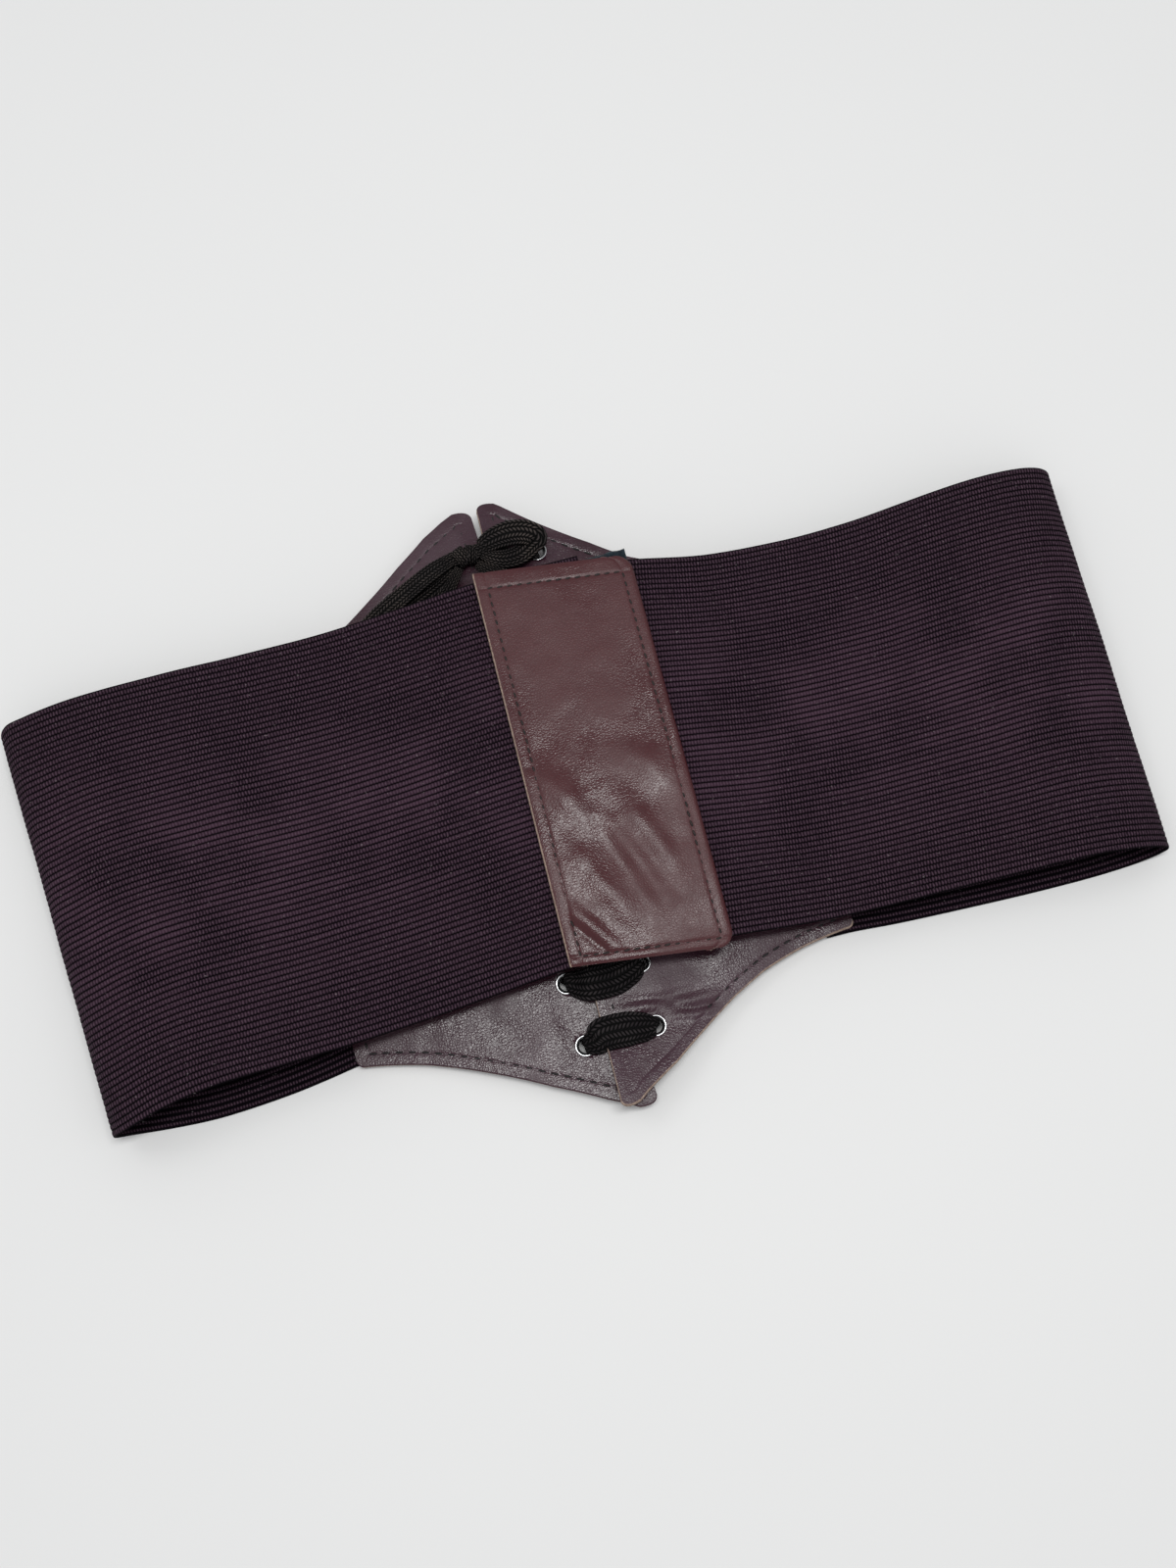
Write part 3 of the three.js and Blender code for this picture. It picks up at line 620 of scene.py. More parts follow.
def edge_stretch(index):
    """How much longer a distance to the slanting edge is when measured straight up"""
    before, after = OUTLINE[max(index - 1, 0)], OUTLINE[min(index + 1, len(OUTLINE) - 1)]
    step = after - before
    return min(step.length / max(step.x, 0.01), 1.6)


STRETCH = [edge_stretch(index) for index in range(len(OUTLINE))]
EDGE_ROWS = [0, 0.55, 1.0, 1.7, 2.6, 3.4, 3.9, 4.2, 4.5, 4.8, 5.1, 5.6, 6.4, 7.5]
MIDDLE_ROWS = 150
PANEL_ROWS = ([(0, inset) for inset in EDGE_ROWS]
              + [(step / MIDDLE_ROWS, EDGE_ROWS[-1]) for step in range(1, MIDDLE_ROWS)]
              + [(1, inset) for inset in reversed(EDGE_ROWS)])

# Creases by their points from the inner edge and the middle, with a depth and a width
PANEL_CREASES = {
    "left": [
        ([(98, -62), (74, -64), (52, -63), (30, -61)], 0.35, 5.0),
        ([(25, -74), (23, -81), (21, -88)], 0.25, 4.0),
        ([(60, -68), (45, -76), (34, -88)], -0.25, 3.5),
        ([(40, 84), (22, 92), (8, 98)], -0.25, 3.0),
        ([(96, 60), (74, 66), (46, 76)], 0.3, 5.0),
    ],
    "right": [
        ([(2, -82.4), (9, -83), (17, -83.6), (24, -86), (30, -85.8), (38, -85.4), (47, -85.4)], 0.85, 1.1),
        ([(7, -85.2), (16, -86.8), (26, -85.2), (33, -88.2), (40, -88.6), (50, -88.4)], -0.8, 1.0),
        ([(16, -89.2), (28, -89.6), (35, -90.6), (46, -90.4)], 0.75, 1.2),
        ([(3, -80.2), (12, -80.6), (24, -82.2), (40, -81.4)], -0.6, 1.5),
        ([(60, -66), (48, -72), (40, -80)], 0.3, 4.0),
        ([(30, 96), (18, 103), (8, 106)], 0.4, 1.6),
        ([(26, 100), (16, 106), (9, 110)], -0.35, 1.2),
    ],
}


def to_line(point, line):
    """Distance from a flat point to a line of points, and the share of the line before its foot"""
    nearest = (math.inf, 0)
    lengths = [math.dist(first, second) for first, second in zip(line, line[1:])]
    walked = 0
    for first, second, length in zip(line, line[1:], lengths):
        share = ((point[0] - first[0]) * (second[0] - first[0])
                 + (point[1] - first[1]) * (second[1] - first[1])) / length ** 2
        share = min(max(share, 0), 1)
        foot = (lerp(first[0], second[0], share), lerp(first[1], second[1], share))
        nearest = min(nearest, (math.dist(point, foot), (walked + share * length) / sum(lengths)))
        walked += length
    return nearest


def crease_height(point, creases):
    height = 0
    for line, depth, width in creases:
        distance, along = to_line(point, line)
        if distance < 3 * width:
            height += depth * ridge(distance, width) * math.sin(math.pi * min(max(along, 0.06), 0.94))
    return height


# The two panels were cut by hand: how far each curved edge lies outside the drawn one, by inset
EDGE_TRIM = {
    ("left", "far"): [(0, 0), (12, 3.8), (20, 5.2), (33, 4.7), (48, 2.6), (58, 0.9), (70, 0), (99, 0)],
    ("left", "near"): [(0, 0.8), (17, 2.6), (34, 3.1), (54, 1.8), (75, 0), (99, -1)],
    ("right", "far"): [(0, 0.8), (9, 1.3), (20, 0), (39, -1.7), (52, -4), (70, -4), (99, 0)],
    ("right", "near"): [(0, 0), (10, -0.4), (23, 0.5), (36, -0.8), (49, -2.6), (62, -3.7), (78, -3.3),
                        (99, -2)],
}


def trimmed(table, inset):
    (first, low), (second, high) = next(pair for pair in zip(table, table[1:]) if inset <= pair[1][0])
    return lerp(low, high, (inset - first) / (second - first))


def panel_flat(side, index, row):
    """Distances of a grid corner from the inner edge and the middle"""
    edge = OUTLINE[index]
    share, inset = row
    reach = edge.y + trimmed(EDGE_TRIM[side, "far" if share > 0.5 else "near"], edge.x)
    return edge.x, (share * 2 - 1) * max(reach - inset * STRETCH[index], 0)


def seam_distance(index, row):
    """Distance from the nearest edge of the panel"""
    edge = OUTLINE[index]
    share, inset = row
    to_ends = inset if share in (0, 1) else math.inf
    return min(to_ends, edge.x, PANEL_WIDTH - edge.x)


def panel_piece(side):
    seed = Vector((0, 0, 40 * SIDES[side]))

    def flat(index, row):
        return panel_flat(side, index, row)

    def place(index, row):
        return on_panel(side, *flat(index, row), PANEL_THICK / 2)

    def relief(index, row):
        inset, up = flat(index, row)
        spot = Vector((inset, up, 0))
        distance = seam_distance(index, row)
        seam = -0.13 * ridge(distance - SEAM_INSET, 0.6)
        soft = 0.42 * noise(spot / 34 + seed) + 0.16 * noise(spot / 11 + seed)
        calm = smoothstep(abs(inset - EYELET_INSET), 4, 10) * 0.7 + 0.3
        edge = smoothstep(distance, 0, 6)
        curl = TIP_CURL * max(0, -88 - up - inset * 0.12) if side == "right" else 0
        creases = crease_height((inset, up), PANEL_CREASES[side])
        return seam + curl + soft * calm * (0.35 + 0.65 * edge) + creases * edge

    def cut(index, row):
        return side == "right" and (index <= 1 or (row[0] == 0 and row[1] <= CUT_WIDTH))

    bm = cloth_grid(range(len(OUTLINE)), PANEL_ROWS, place, relief, flat, side == "left", cut)
    hole = EYELET_HOLE / 2 + EYELET_WALL + HOLE_PLAY
    for number in range(1, ROWS + 1):
        middle = on_panel(side, EYELET_INSET, row_height(number), PANEL_THICK / 2)
        near = [face for face in bm.faces if (face.calc_center_median() - middle).length < hole]
        bmesh.ops.delete(bm, geom=near, context="FACES")
        for vert in bm.verts:
            arm = vert.co - middle
            if vert.is_boundary and arm.length < hole + 2:
                vert.co = middle + arm.normalized() * hole
    piece = finished("leather_panel_" + side, bm, [PANEL_LEATHER, CUT_EDGE],
                     ["front_panel_" + side])
    return thicken(piece, PANEL_THICK, 1)


panel_pieces = {side: panel_piece(side) for side in SIDES}


def seam_loop(side):
    """The stitch line of a panel, all round inside its edges"""
    inside = [index for index, edge in enumerate(OUTLINE)
              if SEAM_INSET <= edge.x <= PANEL_WIDTH - SEAM_INSET]
    upper = [panel_flat(side, index, (1, SEAM_INSET)) for index in inside]
    lower = [panel_flat(side, index, (0, SEAM_INSET)) for index in reversed(inside)]
    return [*upper, *lower, upper[0]]


def along_line(line, pitch):
    """Even places along a line: their middles and headings"""
    places = []
    left = pitch / 2
    for first, second in zip(line, line[1:]):
        first, second = Vector(first), Vector(second)
        length = (second - first).length
        while left <= length:
            places.append((first.lerp(second, left / length), (second - first).normalized()))
            left += pitch
        left -= length
    return places


def stitch(bm, middle, ahead, up, length):
    """One long stitch: a rounded bead, drawn out along the seam and sunk at its ends"""
    aside = up.cross(ahead).normalized()
    for vert in bmesh.ops.create_icosphere(bm, subdivisions=2, radius=0.5)["verts"]:
        x, y, z = vert.co
        sink = (2 * x) ** 4 * 0.35
        vert.co = (middle + ahead * (x * length) + aside * (y * STITCH_WIDTH)
                   + up * (z * STITCH_WIDTH * 0.8 - sink))


def panel_stitches(side):
    bm = bmesh.new()
    turned = PANEL_MATRIX[side].to_3x3()
    normal = (turned @ UP).normalized()
    for middle, heading in along_line(seam_loop(side), STITCH_PITCH):
        for face, height in ((1, PANEL_THICK), (-1, 0)):
            at = on_panel(side, middle.x, middle.y, height - face * 0.22)
            ahead = turned @ Vector((SIDES[side] * heading.x, heading.y, 0))
            stitch(bm, at, ahead.normalized(), normal * face, STITCH_PITCH - 1.1)
    return finished("panel_stitches_" + side, bm, [PANEL_THREAD])


panel_stitch_pieces = {side: panel_stitches(side) for side in SIDES}
PANEL_AREA = sum((a.y + b.y) * (b.x - a.x) for a, b in zip(OUTLINE, OUTLINE[1:]))


def droop(y):
    """The near end of the closed back droops a little"""
    return TAB_DROOP * max(0, -y / (BAND_WIDTH / 2)) ** 2


# Sections of a band, from below the front panel, round the fold and back to the tab, by their stretch.
# Each row: the share of the way to the fold, the near and far edge as shares of the band's width,
# and the height of the wall's middle at those edges as shares of the loop's height
BAND_SECTIONS = {
    "left": {
        "seam": [(0, -0.505, 0.495, 0, 0)],
        "under": [(0, -0.509, 0.491, 0.05, 0.05), (0.14, -0.52, 0.48, 0, 0), (0.32, -0.531, 0.469, 0, 0),
                  (0.6, -0.537, 0.465, 0, 0), (0.8, -0.529, 0.478, 0, 0), (0.94, -0.52, 0.492, 0.08, 0.08)],
        "top": [(1, -0.52, 0.503, 0.42, 0.36), (0.98, -0.521, 0.513, 0.76, 0.62),
                (0.94, -0.512, 0.517, 0.92, 0.75), (0.88, -0.495, 0.524, 0.99, 0.82),
                (0.78, -0.478, 0.529, 1, 0.85), (0.64, -0.473, 0.529, 0.94, 0.83),
                (0.48, -0.469, 0.525, 0.87, 0.8), (0.32, -0.461, 0.524, 0.85, 0.79),
                (0.16, -0.45, 0.53, 0.89, 0.87)],
        "tab": [(0, -0.439, 0.538, 0, 0)],
        "lap": [(0, -0.437, 0.538, 0, 0)],
    },
    "right": {
        "seam": [(0, -0.524, 0.476, 0, 0)],
        "under": [(0, -0.526, 0.474, 0.05, 0.05), (0.14, -0.536, 0.47, 0, 0), (0.32, -0.545, 0.464, 0, 0),
                  (0.6, -0.556, 0.456, 0, 0), (0.8, -0.559, 0.453, 0, 0), (0.94, -0.555, 0.456, 0.08, 0.08)],
        "top": [(1, -0.549, 0.458, 0.34, 0.34), (0.98, -0.545, 0.462, 0.6, 0.58),
                (0.94, -0.538, 0.467, 0.76, 0.74), (0.88, -0.529, 0.47, 0.86, 0.84),
                (0.78, -0.52, 0.467, 0.93, 0.91), (0.64, -0.513, 0.455, 0.9, 0.89),
                (0.5, -0.506, 0.446, 0.82, 0.82), (0.34, -0.5, 0.449, 0.78, 0.78),
                (0.18, -0.49, 0.462, 0.8, 0.81)],
        "tab": [(0, -0.472, 0.496, 0, 0)],
        "lap": [(0, -0.466, 0.502, 0, 0)],
    },
}
BAND_STEPS = 6
RIB_PROFILE = [(0, -0.22), (0.16, 0.04), (0.38, 0.14), (0.62, 0.14), (0.84, 0.04)]
BAND_WALL = 1.0


def band_point(side, section, share):
    """A point of the band's middle surface. share: 0 at the near edge, 1 at the far one"""
    sign = SIDES[side]
    run, out, near, far, near_rise, far_rise = section
    y = lerp(near, far, share) * BAND_WIDTH
    tab_edge = TAB_MIDDLE[0] + sign * TAB_WIDTH / 2
    if run in ("tab", "lap"):
        return Vector((tab_edge - sign * TAB_LAP[side] * (run == "lap"), y, BAND_SEAT))
    below = -GAP - BAND_THICK / 2
    panel_edge = on_panel(side, PANEL_WIDTH, y, below).x
    if run == "seam":
        return Vector((panel_edge - sign * SEAM_LAP, y, on_panel(side, PANEL_WIDTH - SEAM_LAP, y, below).z))
    fold = sign * (BELT_LENGTH / 2 - BAND_THICK / 2 - FOLD_LEAN[side] * (1 - share))
    rise = lerp(near_rise, far_rise, share) * LOOP_HEIGHT
    start = tab_edge if run == "top" else panel_edge
    return Vector((lerp(start, fold, out), y, max(rise, BAND_THICK / 2)))


def band_piece(side):
    sections = [(run, *row) for run, rows in BAND_SECTIONS[side].items() for row in rows]
    last = len(sections) - 1
    first_top = 1 + len(BAND_SECTIONS[side]["under"])
    shares = [(rib + part, height) for rib in range(RIBS) for part, height in RIB_PROFILE] + [(RIBS, -0.1)]
    controls = {rib: [band_point(side, section, rib / RIBS) for section in sections] for rib, _ in shares}
    places = [step / (last * BAND_STEPS) for step in range(last * BAND_STEPS + 1)]
    middle = [curve_point(controls[RIBS], place) for place in places]
    walked = [0]
    for first, second in zip(middle, middle[1:]):
        walked.append(walked[-1] + (second - first).length)

    def place(index, row):
        point = curve_point(controls[row[0]], places[index])
        on_top = smoothstep(places[index] * last, first_top, last - 2)
        point.z = max(point.z - on_top * droop(point.y), BAND_THICK / 2)
        waver = noise(Vector((walked[index] / 30, row[0] / 9, SIDES[side] * 7)))
        point.y += 0.35 * waver * min(row[0], RIBS - row[0], 4) / 4
        return point

    def relief(index, row):
        at = places[index] * last
        free = smoothstep(at, first_top - 0.5, first_top + 1.5) * (1 - smoothstep(at, last - 3, last - 1.3))
        spot = Vector((walked[index], row[0] * BAND_WIDTH / RIBS, SIDES[side] * 50))
        swell = noise(spot / 55) + 0.45 * noise(spot / 19)
        fine = 0.07 * noise(Vector((walked[index] / 3, row[0] / 2, 3)))
        return row[1] + fine + swell * free

    bm = cloth_grid(range(len(places)), shares, place, relief,
                    lambda index, row: (walked[index], row[0]), turned=side == "right")
    piece = finished("ribbed_band_" + side, bm, [ELASTIC], ["elastic_" + side])
    thicken(piece, BAND_WALL)


for side in SIDES:
    band_piece(side)


# Closure tab: a leaning rectangle with tilted ends
def tab_point(across, along, height):
    lean, fall = math.tan(math.radians(TAB_LEAN)), math.tan(math.radians(TAB_END_TILT))
    x, y = (across - 0.5) * TAB_WIDTH, (along - 0.5) * TAB_LENGTH
    place = Vector((TAB_MIDDLE[0] + x + y * lean, TAB_MIDDLE[1] + y - x * fall, height))
    place.z -= droop(place.y)
    return place


TAB_SEAM = {"left": 0.075, "right": 0.932, "near": 0.022, "far": 0.957}
TAB_STITCH = 3.6
TAB_CREASES = [
    ([(0.0, 0.138), (0.083, 0.099), (0.161, 0.061), (0.238, 0.023), (0.29, 0.0)], -0.75, 1.1),
    ([(0.03, 0.165), (0.11, 0.125), (0.19, 0.085), (0.27, 0.045), (0.35, 0.0)], 0.95, 2.6),
    ([(0.068, 0.475), (0.14, 0.445), (0.22, 0.405), (0.3, 0.352), (0.36, 0.29)], 0.95, 4.5),
    ([(0.5, 0.42), (0.602, 0.348), (0.68, 0.29), (0.74, 0.225), (0.8, 0.15)], 0.95, 4.0),
    ([(0.3, 0.36), (0.4, 0.28), (0.5, 0.19), (0.58, 0.09)], -0.8, 4.5),
    ([(0.12, 0.33), (0.24, 0.24), (0.36, 0.15), (0.46, 0.05)], 0.8, 3.6),
    ([(0.4, 0.37), (0.52, 0.27), (0.62, 0.17), (0.68, 0.06)], 0.7, 3.4),
    ([(0.62, 0.5), (0.76, 0.47), (0.88, 0.4)], 0.55, 4.0),
    ([(-0.03, 0.512), (0.04, 0.49), (0.09, 0.485)], -0.4, 1.0),
    ([(0.0, 0.16), (0.05, 0.145), (0.1, 0.135)], -0.4, 0.8),
]


def on_tab(across, along):
    """Millimetres on the flat tab from its shares"""
    return across * TAB_WIDTH, along * TAB_LENGTH


def tab_pulled(along):
    """How far the rounded corners on the right pull the edge in, in millimetres"""
    from_end = min(along, 1 - along) * TAB_LENGTH
    in_corner = max(0, TAB_CORNER - from_end)
    return TAB_CORNER - math.sqrt(max(TAB_CORNER ** 2 - in_corner ** 2, 0))


def clustered(inner, low, high, fine):
    """Even shares with fine ones about a seam near each end"""
    seams = [seam + step * fine for seam in (low, high) for step in range(-3, 4)]
    even = [step / inner for step in range(inner + 1)]
    clear = [share for share in even if min(abs(share - low), abs(share - high)) > 3.6 * fine]
    return sorted([share for share in seams if 0 < share < 1] + clear)


def tab_piece():
    columns = clustered(52, TAB_SEAM["left"], TAB_SEAM["right"], 0.4 / TAB_WIDTH)
    rows = clustered(120, TAB_SEAM["near"], TAB_SEAM["far"], 0.4 / TAB_LENGTH)
    columns.insert(1, CUT_WIDTH / TAB_WIDTH)
    corner = [TAB_CORNER / TAB_LENGTH * share for share in (0.02, 0.08, 0.18, 0.32, 0.5, 0.75)]
    rows = sorted({round(row, 5) for row in rows + corner + [1 - row for row in corner]})
    tab_creases = [([on_tab(*spot) for spot in line], depth, width) for line, depth, width in TAB_CREASES]

    def place(across, along):
        kept = 1 - tab_pulled(along) / TAB_WIDTH
        return tab_point(across * kept, along, TAB_HEIGHT - TAB_THICK / 2)

    def relief(across, along):
        x, y = on_tab(across, along)
        seam = min(min(abs(across - TAB_SEAM[side]) for side in ("left", "right")) * TAB_WIDTH,
                   min(abs(along - TAB_SEAM[end]) for end in ("near", "far")) * TAB_LENGTH)
        edge = min(x, TAB_WIDTH - x, y, TAB_LENGTH - y)
        spot = Vector((x, y, 12))
        lower = 1 - smoothstep(along, 0.4, 0.62)
        soft = (0.2 + 0.35 * lower) * noise(spot / 22) + (0.08 + 0.14 * lower) * noise(spot / 7)
        creases = crease_height((x, y), tab_creases)
        rounded = -0.35 * ridge(edge, 0.7)
        return -0.24 * ridge(seam, 0.7) + rounded + (soft + creases) * smoothstep(edge, 0, 5)

    def cut(across, along):
        return across * TAB_WIDTH <= CUT_WIDTH + 0.01

    bm = cloth_grid(columns, rows, place, relief, on_tab, cut=cut)
    return thicken(finished("leather_tab", bm, [TAB_LEATHER, CUT_EDGE], ["back_tab"]),
                   TAB_THICK - 0.2, 1)


tab = tab_piece()


def beside(middle, shift, height):
    """A point near a place that is given in the flat tab's millimetres"""
    across = middle.x / TAB_WIDTH + shift.x / TAB_WIDTH
    return tab_point(across, middle.y / TAB_LENGTH + shift.y / TAB_LENGTH, height)


def tab_stitches():
    bm = bmesh.new()
    corners = [on_tab(TAB_SEAM[across], TAB_SEAM[along]) for across, along in (
        ("left", "near"), ("right", "near"), ("right", "far"), ("left", "far"), ("left", "near"))]
    for number, (middle, heading) in enumerate(along_line(corners, TAB_STITCH)):
        ahead = beside(middle, heading * 0.5, TAB_HEIGHT) - beside(middle, heading * -0.5, TAB_HEIGHT)
        sway = Vector((-heading.y, heading.x)) * 0.22 * noise(Vector((number * 0.8, 0, 5)))
        leaning = Matrix.Rotation(0.16, 3, UP) @ ahead.normalized()
        stitch(bm, beside(middle, sway, TAB_HEIGHT - 0.38), leaning, UP, TAB_STITCH - 0.8)
    return finished("tab_stitches", bm, [TAB_THREAD])


tab_thread = tab_stitches()

# Fastener strip: the near and far end of each side as shares of the tab. The far right one stands proud
STRIP_SIDES = (((0.07, 0.03), (0.07, 0.965)), ((0.985, 0.03), (0.985, 1.022)))


def strip_piece():
    height = TAB_HEIGHT - TAB_THICK - GAP - STRIP_THICK / 2

    def place(across, along):
        ends = [[lerp(near, far, along) for near, far in zip(*side)] for side in STRIP_SIDES]
        x_share, y_share = (lerp(left, right, across) for left, right in zip(*ends))
        ragged = 0.004 * noise(Vector((across * 14, 2, 0))) * smoothstep(along, 0.9, 1)
        return tab_point(x_share, y_share + ragged, height)

    def relief(across, along):
        return 0.12 * noise(Vector((*on_tab(across, along), 0)) / 2.2)

    columns, rows = ([step / count for step in range(count + 1)] for count in (60, 140))
    bm = cloth_grid(columns, rows, place, relief, on_tab)
    piece = finished("fastener_pile_strip", bm, [FASTENER], ["fastener_strip"])
    thicken(piece, STRIP_THICK - 0.2)


strip_piece()


# Eyelets: a barrel with a rolled rim on each face of the panel
def eyelet_profile():
    """Radius and height round the section, the same rim below and above"""
    bore, flange = EYELET_HOLE / 2, EYELET_DIAMETER / 2
    barrel = bore + EYELET_WALL
    rim = [(barrel, 0), (flange - 0.15, 0), (flange, 0.16), (flange - 0.12, 0.4),
           (flange - 0.35, RIM_THICK), (flange - 0.62, 0.38), (bore + 0.25, -0.3), (bore, -0.7)]
    top = PANEL_THICK + GAP
    return ([(radius, -GAP - rise) for radius, rise in rim]
            + [(radius, top + rise) for radius, rise in reversed(rim)])


def eyelet_pieces(side):
    bm = bmesh.new()
    for number in range(1, ROWS + 1):
        corners = [bm.verts.new((radius, 0, height)) for radius, height in eyelet_profile()]
        edges = [bm.edges.new(pair) for pair in zip(corners, corners[1:] + corners[:1])]
        bmesh.ops.spin(bm, geom=corners + edges, cent=(0, 0, 0), axis=(0, 0, 1), dvec=(0, 0, 0),
                       angle=2 * math.pi, steps=40, use_merge=True, use_duplicate=False)
        for vert in bm.verts:
            if not vert.tag:
                vert.tag = True
                x, y, z = vert.co
                vert.co = on_panel(side, SIDES[side] * x + EYELET_INSET, y + row_height(number), z)
    bmesh.ops.recalc_face_normals(bm, faces=bm.faces)
    nodes = ["eyelet_%s_%d" % (side, number) for number in range(1, ROWS + 1)]
    return finished("eyelets_" + side, bm, [SILVER], nodes)


for side in SIDES:
    eyelet_pieces(side)

# The laced stretch. It goes down at each left eyelet, across below to a right one, up, and back by a bar.
LACING = [(9, 7), (7, 5), (5, 3), (3, 1), (1, 2), (2, 4), (4, 6), (6, 8), (8, 9)]
BAR_SAG = {1: 0.1, 2: -0.35}
HIDDEN_SAG = -0.12
HOLE_WIDTH = 3.8
RIM_WIDTH = 7.4
BEND = 1.1
SHOULDER = 3.8
CORNER_DROP = 0.15
EDGE_REACH = 0.6
OVER_RIM = RIM_TOP + GAP + LACE_THICK / 2
LACE_TO_KNOT = {
    "left": [(-29, 93.8, 8.9), (-27, 95.2, 9.8)],
    "right": [(1.6, 92.2, 11.2), (-3, 92.4, 11.3), (-9, 94, 11.7), (-14.3, 96.2, 11.7)],
}


def eyelet_at(side, row, above):
    return on_panel(side, EYELET_INSET, row_height(row), above)


def level(vector):
    return Vector((vector.x, vector.y, 0)).normalized()


def mouth_rows(hole, inward):
    """From a hole's mouth below the panels to the flat of the lace"""
    leaning = (DOWN - inward).normalized()
    sections = [(0.3, BEND, -inward, HOLE_WIDTH), (BEND, 0.25, leaning, 0.5 * LACE_WIDTH),
                (2.6, 0, DOWN, 0.62 * LACE_WIDTH)]
    return [Row(hole + inward * distance + UP * rise, up, wide) for distance, rise, up, wide in sections]


def under_run(start_row, end_row):
    """Below: out of the left eyelet's hole and up to the right one's"""
    height = FLOOR_GAP + LACE_THICK / 2 + (LACE_THICK + GAP if end_row > start_row else 0)
    start, end = eyelet_at("left", start_row, 0), eyelet_at("right", end_row, 0)
    start.z = end.z = height
    heading = level(end - start)
    flat_rows = [Row(start.lerp(end, share), DOWN, 0.9 * LACE_WIDTH) for share in (0.22, 0.5, 0.78)]
    return [*mouth_rows(start, heading), *flat_rows, *reversed(mouth_rows(end, -heading))]


def rim_corner(side, row, heading):
    """Where the lace bends over an eyelet's rim"""
    at = eyelet_at(side, row, OVER_RIM - CORNER_DROP) + heading * (BEND * 0.8)
    return Row(at, (UP - heading).normalized(), RIM_WIDTH)


def bar(row):
    """Above: out of a right eyelet, over both inner edges and into the left eyelet of that row"""
    start, end = eyelet_at("right", row, OVER_RIM), eyelet_at("left", row, OVER_RIM)
    heading = level(end - start)
    sag = BAR_SAG.get(row, HIDDEN_SAG) * LACE_WIDTH
    drop = Vector((0, sag * 0.4, 0))
    up, wide = row_height(row) + sag, 1.24 * LACE_WIDTH
    return [
        rim_corner("right", row, heading),
        Row(start + heading * SHOULDER + drop, UP, 1.04 * LACE_WIDTH),
        Row(on_panel("right", EYELET_INSET * 0.45, up, OVER_RIM), UP, wide),
        Row(on_panel("right", -EDGE_REACH, up, PANEL_THICK + LACE_THICK), UP, wide),
        Row(end - heading * SHOULDER + drop, UP, LACE_WIDTH),
        rim_corner("left", row, -heading),
    ]


def lace_to_knot(side):
    points = [Vector(point) for point in LACE_TO_KNOT[side]]
    heading = level(points[0] - eyelet_at(side, ROWS, 0))
    return [rim_corner(side, ROWS, heading), *[Row(at, UP, 0.6 * LACE_WIDTH) for at in points]]


def lace_piece():
    rows = list(reversed(lace_to_knot("left")))
    inside = PANEL_THICK / 2
    for number, (start_row, end_row) in enumerate(LACING):
        if number:
            rows += bar(start_row)
        start, end = eyelet_at("left", start_row, inside), eyelet_at("right", end_row, inside)
        heading = level(eyelet_at("right", end_row, 0) - eyelet_at("left", start_row, 0))
        leaving = heading if number < len(LACING) - 1 else Vector((1, 0, 0))
        rows.append(Row(start, Vector((-1, 0, 0)), HOLE_WIDTH))
        rows += under_run(start_row, end_row)
        rows.append(Row(end, leaving, HOLE_WIDTH))
    rows += lace_to_knot("right")
    bm, _, _ = lace_strip(rows, 0.6, 48, 0.3)
    return finished("laced_braid", bm, [LACING_BRAID], ["lace"])


lace_piece()


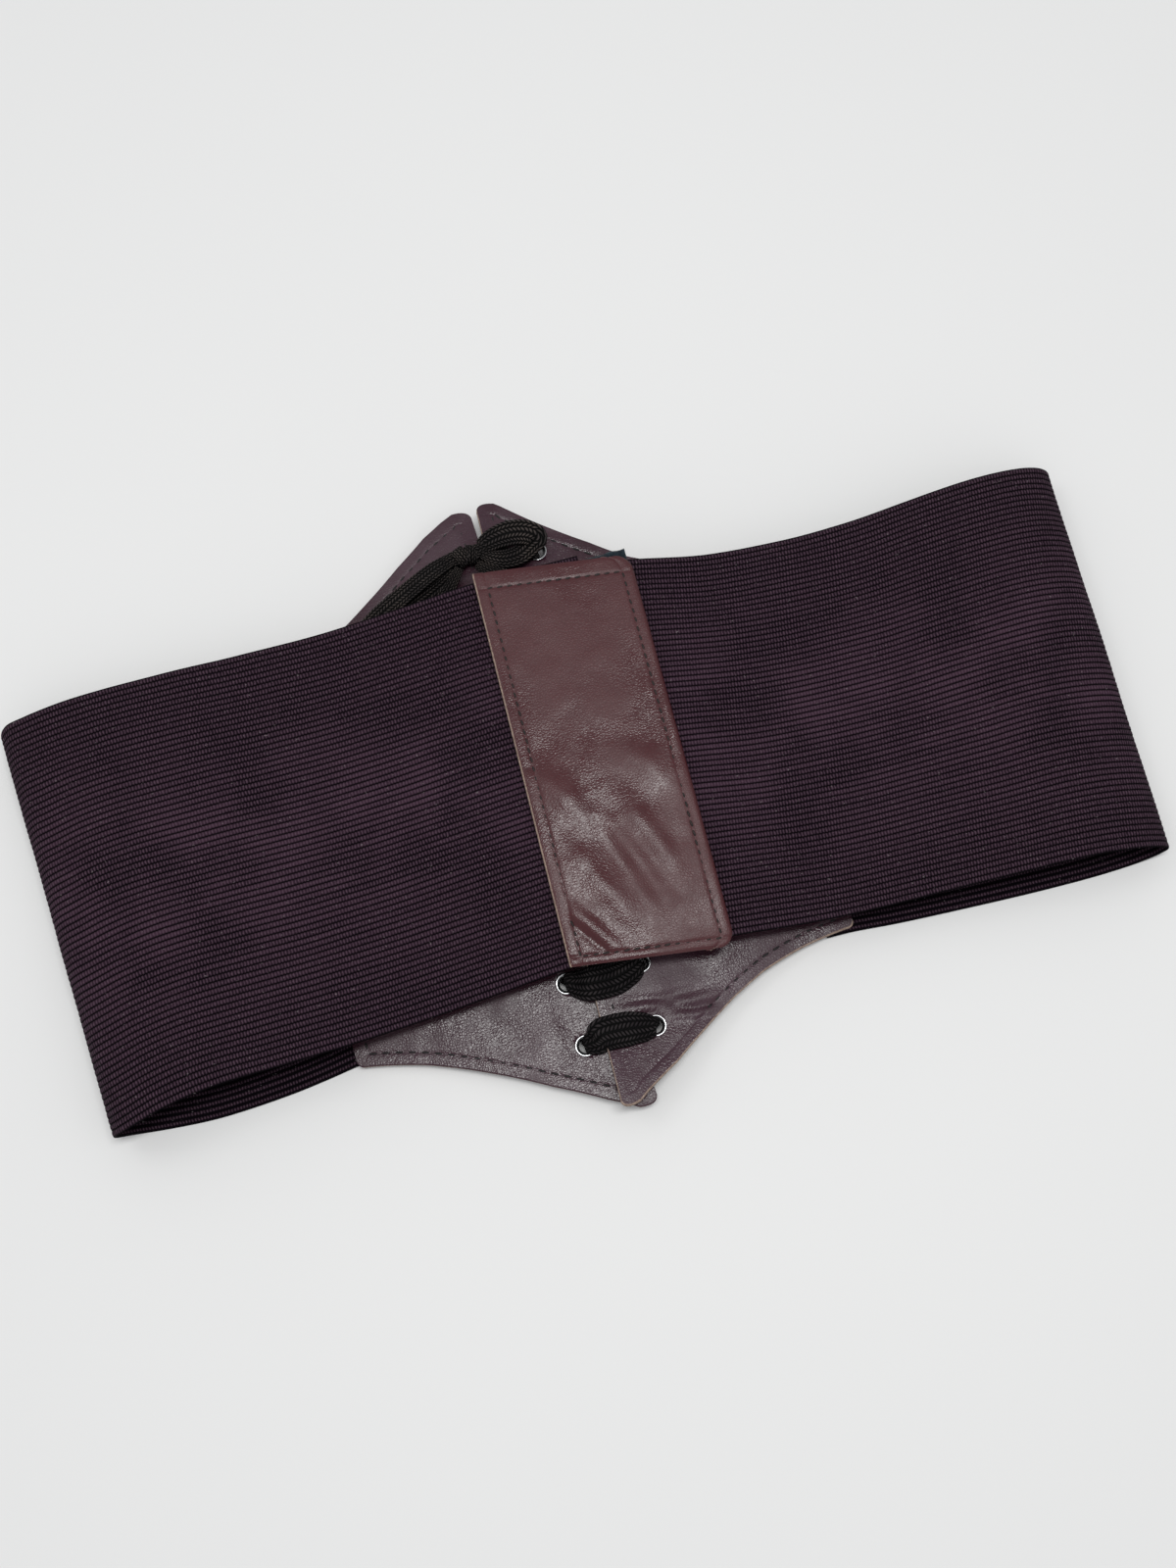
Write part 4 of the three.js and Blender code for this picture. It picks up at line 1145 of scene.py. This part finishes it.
# The knot: its middle, its reach along y and z, its core by places and widths, and its wraps,
# each with a shift along x, a lean in degrees, a width and a share of the knot's size
KNOT = Vector((-20.7, 97, 11.2))
KNOT_REACH = ((9.4 - LACE_THICK) / 2, (7 - LACE_THICK) / 2)
KNOT_CORE = [((-29.5, 95.2, 12.2), 5), ((-26, 96.6, 11.8), 6), ((-20.7, 97, 11.4), 6.4),
             ((-15.4, 97, 12.8), 6), ((-12.4, 97.4, 13.4), 5)]
KNOT_WRAPS = [(-1.9, 24, 5.4, 0.84), (2.3, -16, 4.8, 0.8), (0.2, 2, 6.4, 0.74)]
WRAP_STEPS = 16


def wrap_rows(shift, lean, wide, grow):
    turn = Matrix.Rotation(math.radians(lean), 3, "Z")
    rows = []
    for step in range(WRAP_STEPS + 1):
        angle = 2 * math.pi * step / WRAP_STEPS - math.pi / 2
        out = Vector((0, math.cos(angle), math.sin(angle)))
        reach = Vector((0, out.y * KNOT_REACH[0], out.z * KNOT_REACH[1]))
        rows.append(Row(KNOT + turn @ (reach * grow) + Vector((shift, 0, 0)), turn @ out, wide))
    return rows


def knot_piece():
    """Three wraps of the lace about its core, leaning over each other"""
    bm = bmesh.new()
    core = [Row(Vector(place), UP, wide, 3) for place, wide in KNOT_CORE]
    for rows in (core, *(wrap_rows(*wrap) for wrap in KNOT_WRAPS)):
        wrapped, _, _ = lace_strip(rows, 0.4, 64, 0.26)
        carried = bpy.data.meshes.new("wrap")
        wrapped.to_mesh(carried)
        wrapped.free()
        bm.from_mesh(carried)
        bpy.data.meshes.remove(carried)
    return finished("bow_knot_braid", bm, [BRAID], ["bow_knot"])


knot_piece()


# Table and light
def add_table():
    bm = bmesh.new()
    bmesh.ops.create_grid(bm, x_segments=2, y_segments=2, size=4)
    mesh_object("table", bm, [table_surface()])


def add_light(name, place, target, size, power):
    data = bpy.data.lights.new(name, "AREA")
    data.shape = "RECTANGLE"
    data.size, data.size_y = size
    data.energy = power
    data.color = (1, 1, 0.99)
    place = Vector(place)
    turn = (place - Vector(target)).to_track_quat("Z", "Y").to_matrix().to_4x4()
    add_object(name, data).matrix_world = Matrix.Translation(place) @ turn


add_table()
add_light("high_softbox", (-0.8, 0.75, 1.3), (0, 0, 0), (0.7, 0.5), 2.0)
add_light("near_sheen", (0.07, 0.0, 1.35), (0.07, 0.0, 0), (0.72, 0.22), 8.2)
world = bpy.data.worlds.new("studio")
world.use_nodes = True
background = world.node_tree.nodes["Background"].inputs
background["Color"].default_value = (0.98, 0.99, 1, 1)
background["Strength"].default_value = 0.575
scene.world = world
scene.view_settings.view_transform = "Standard"
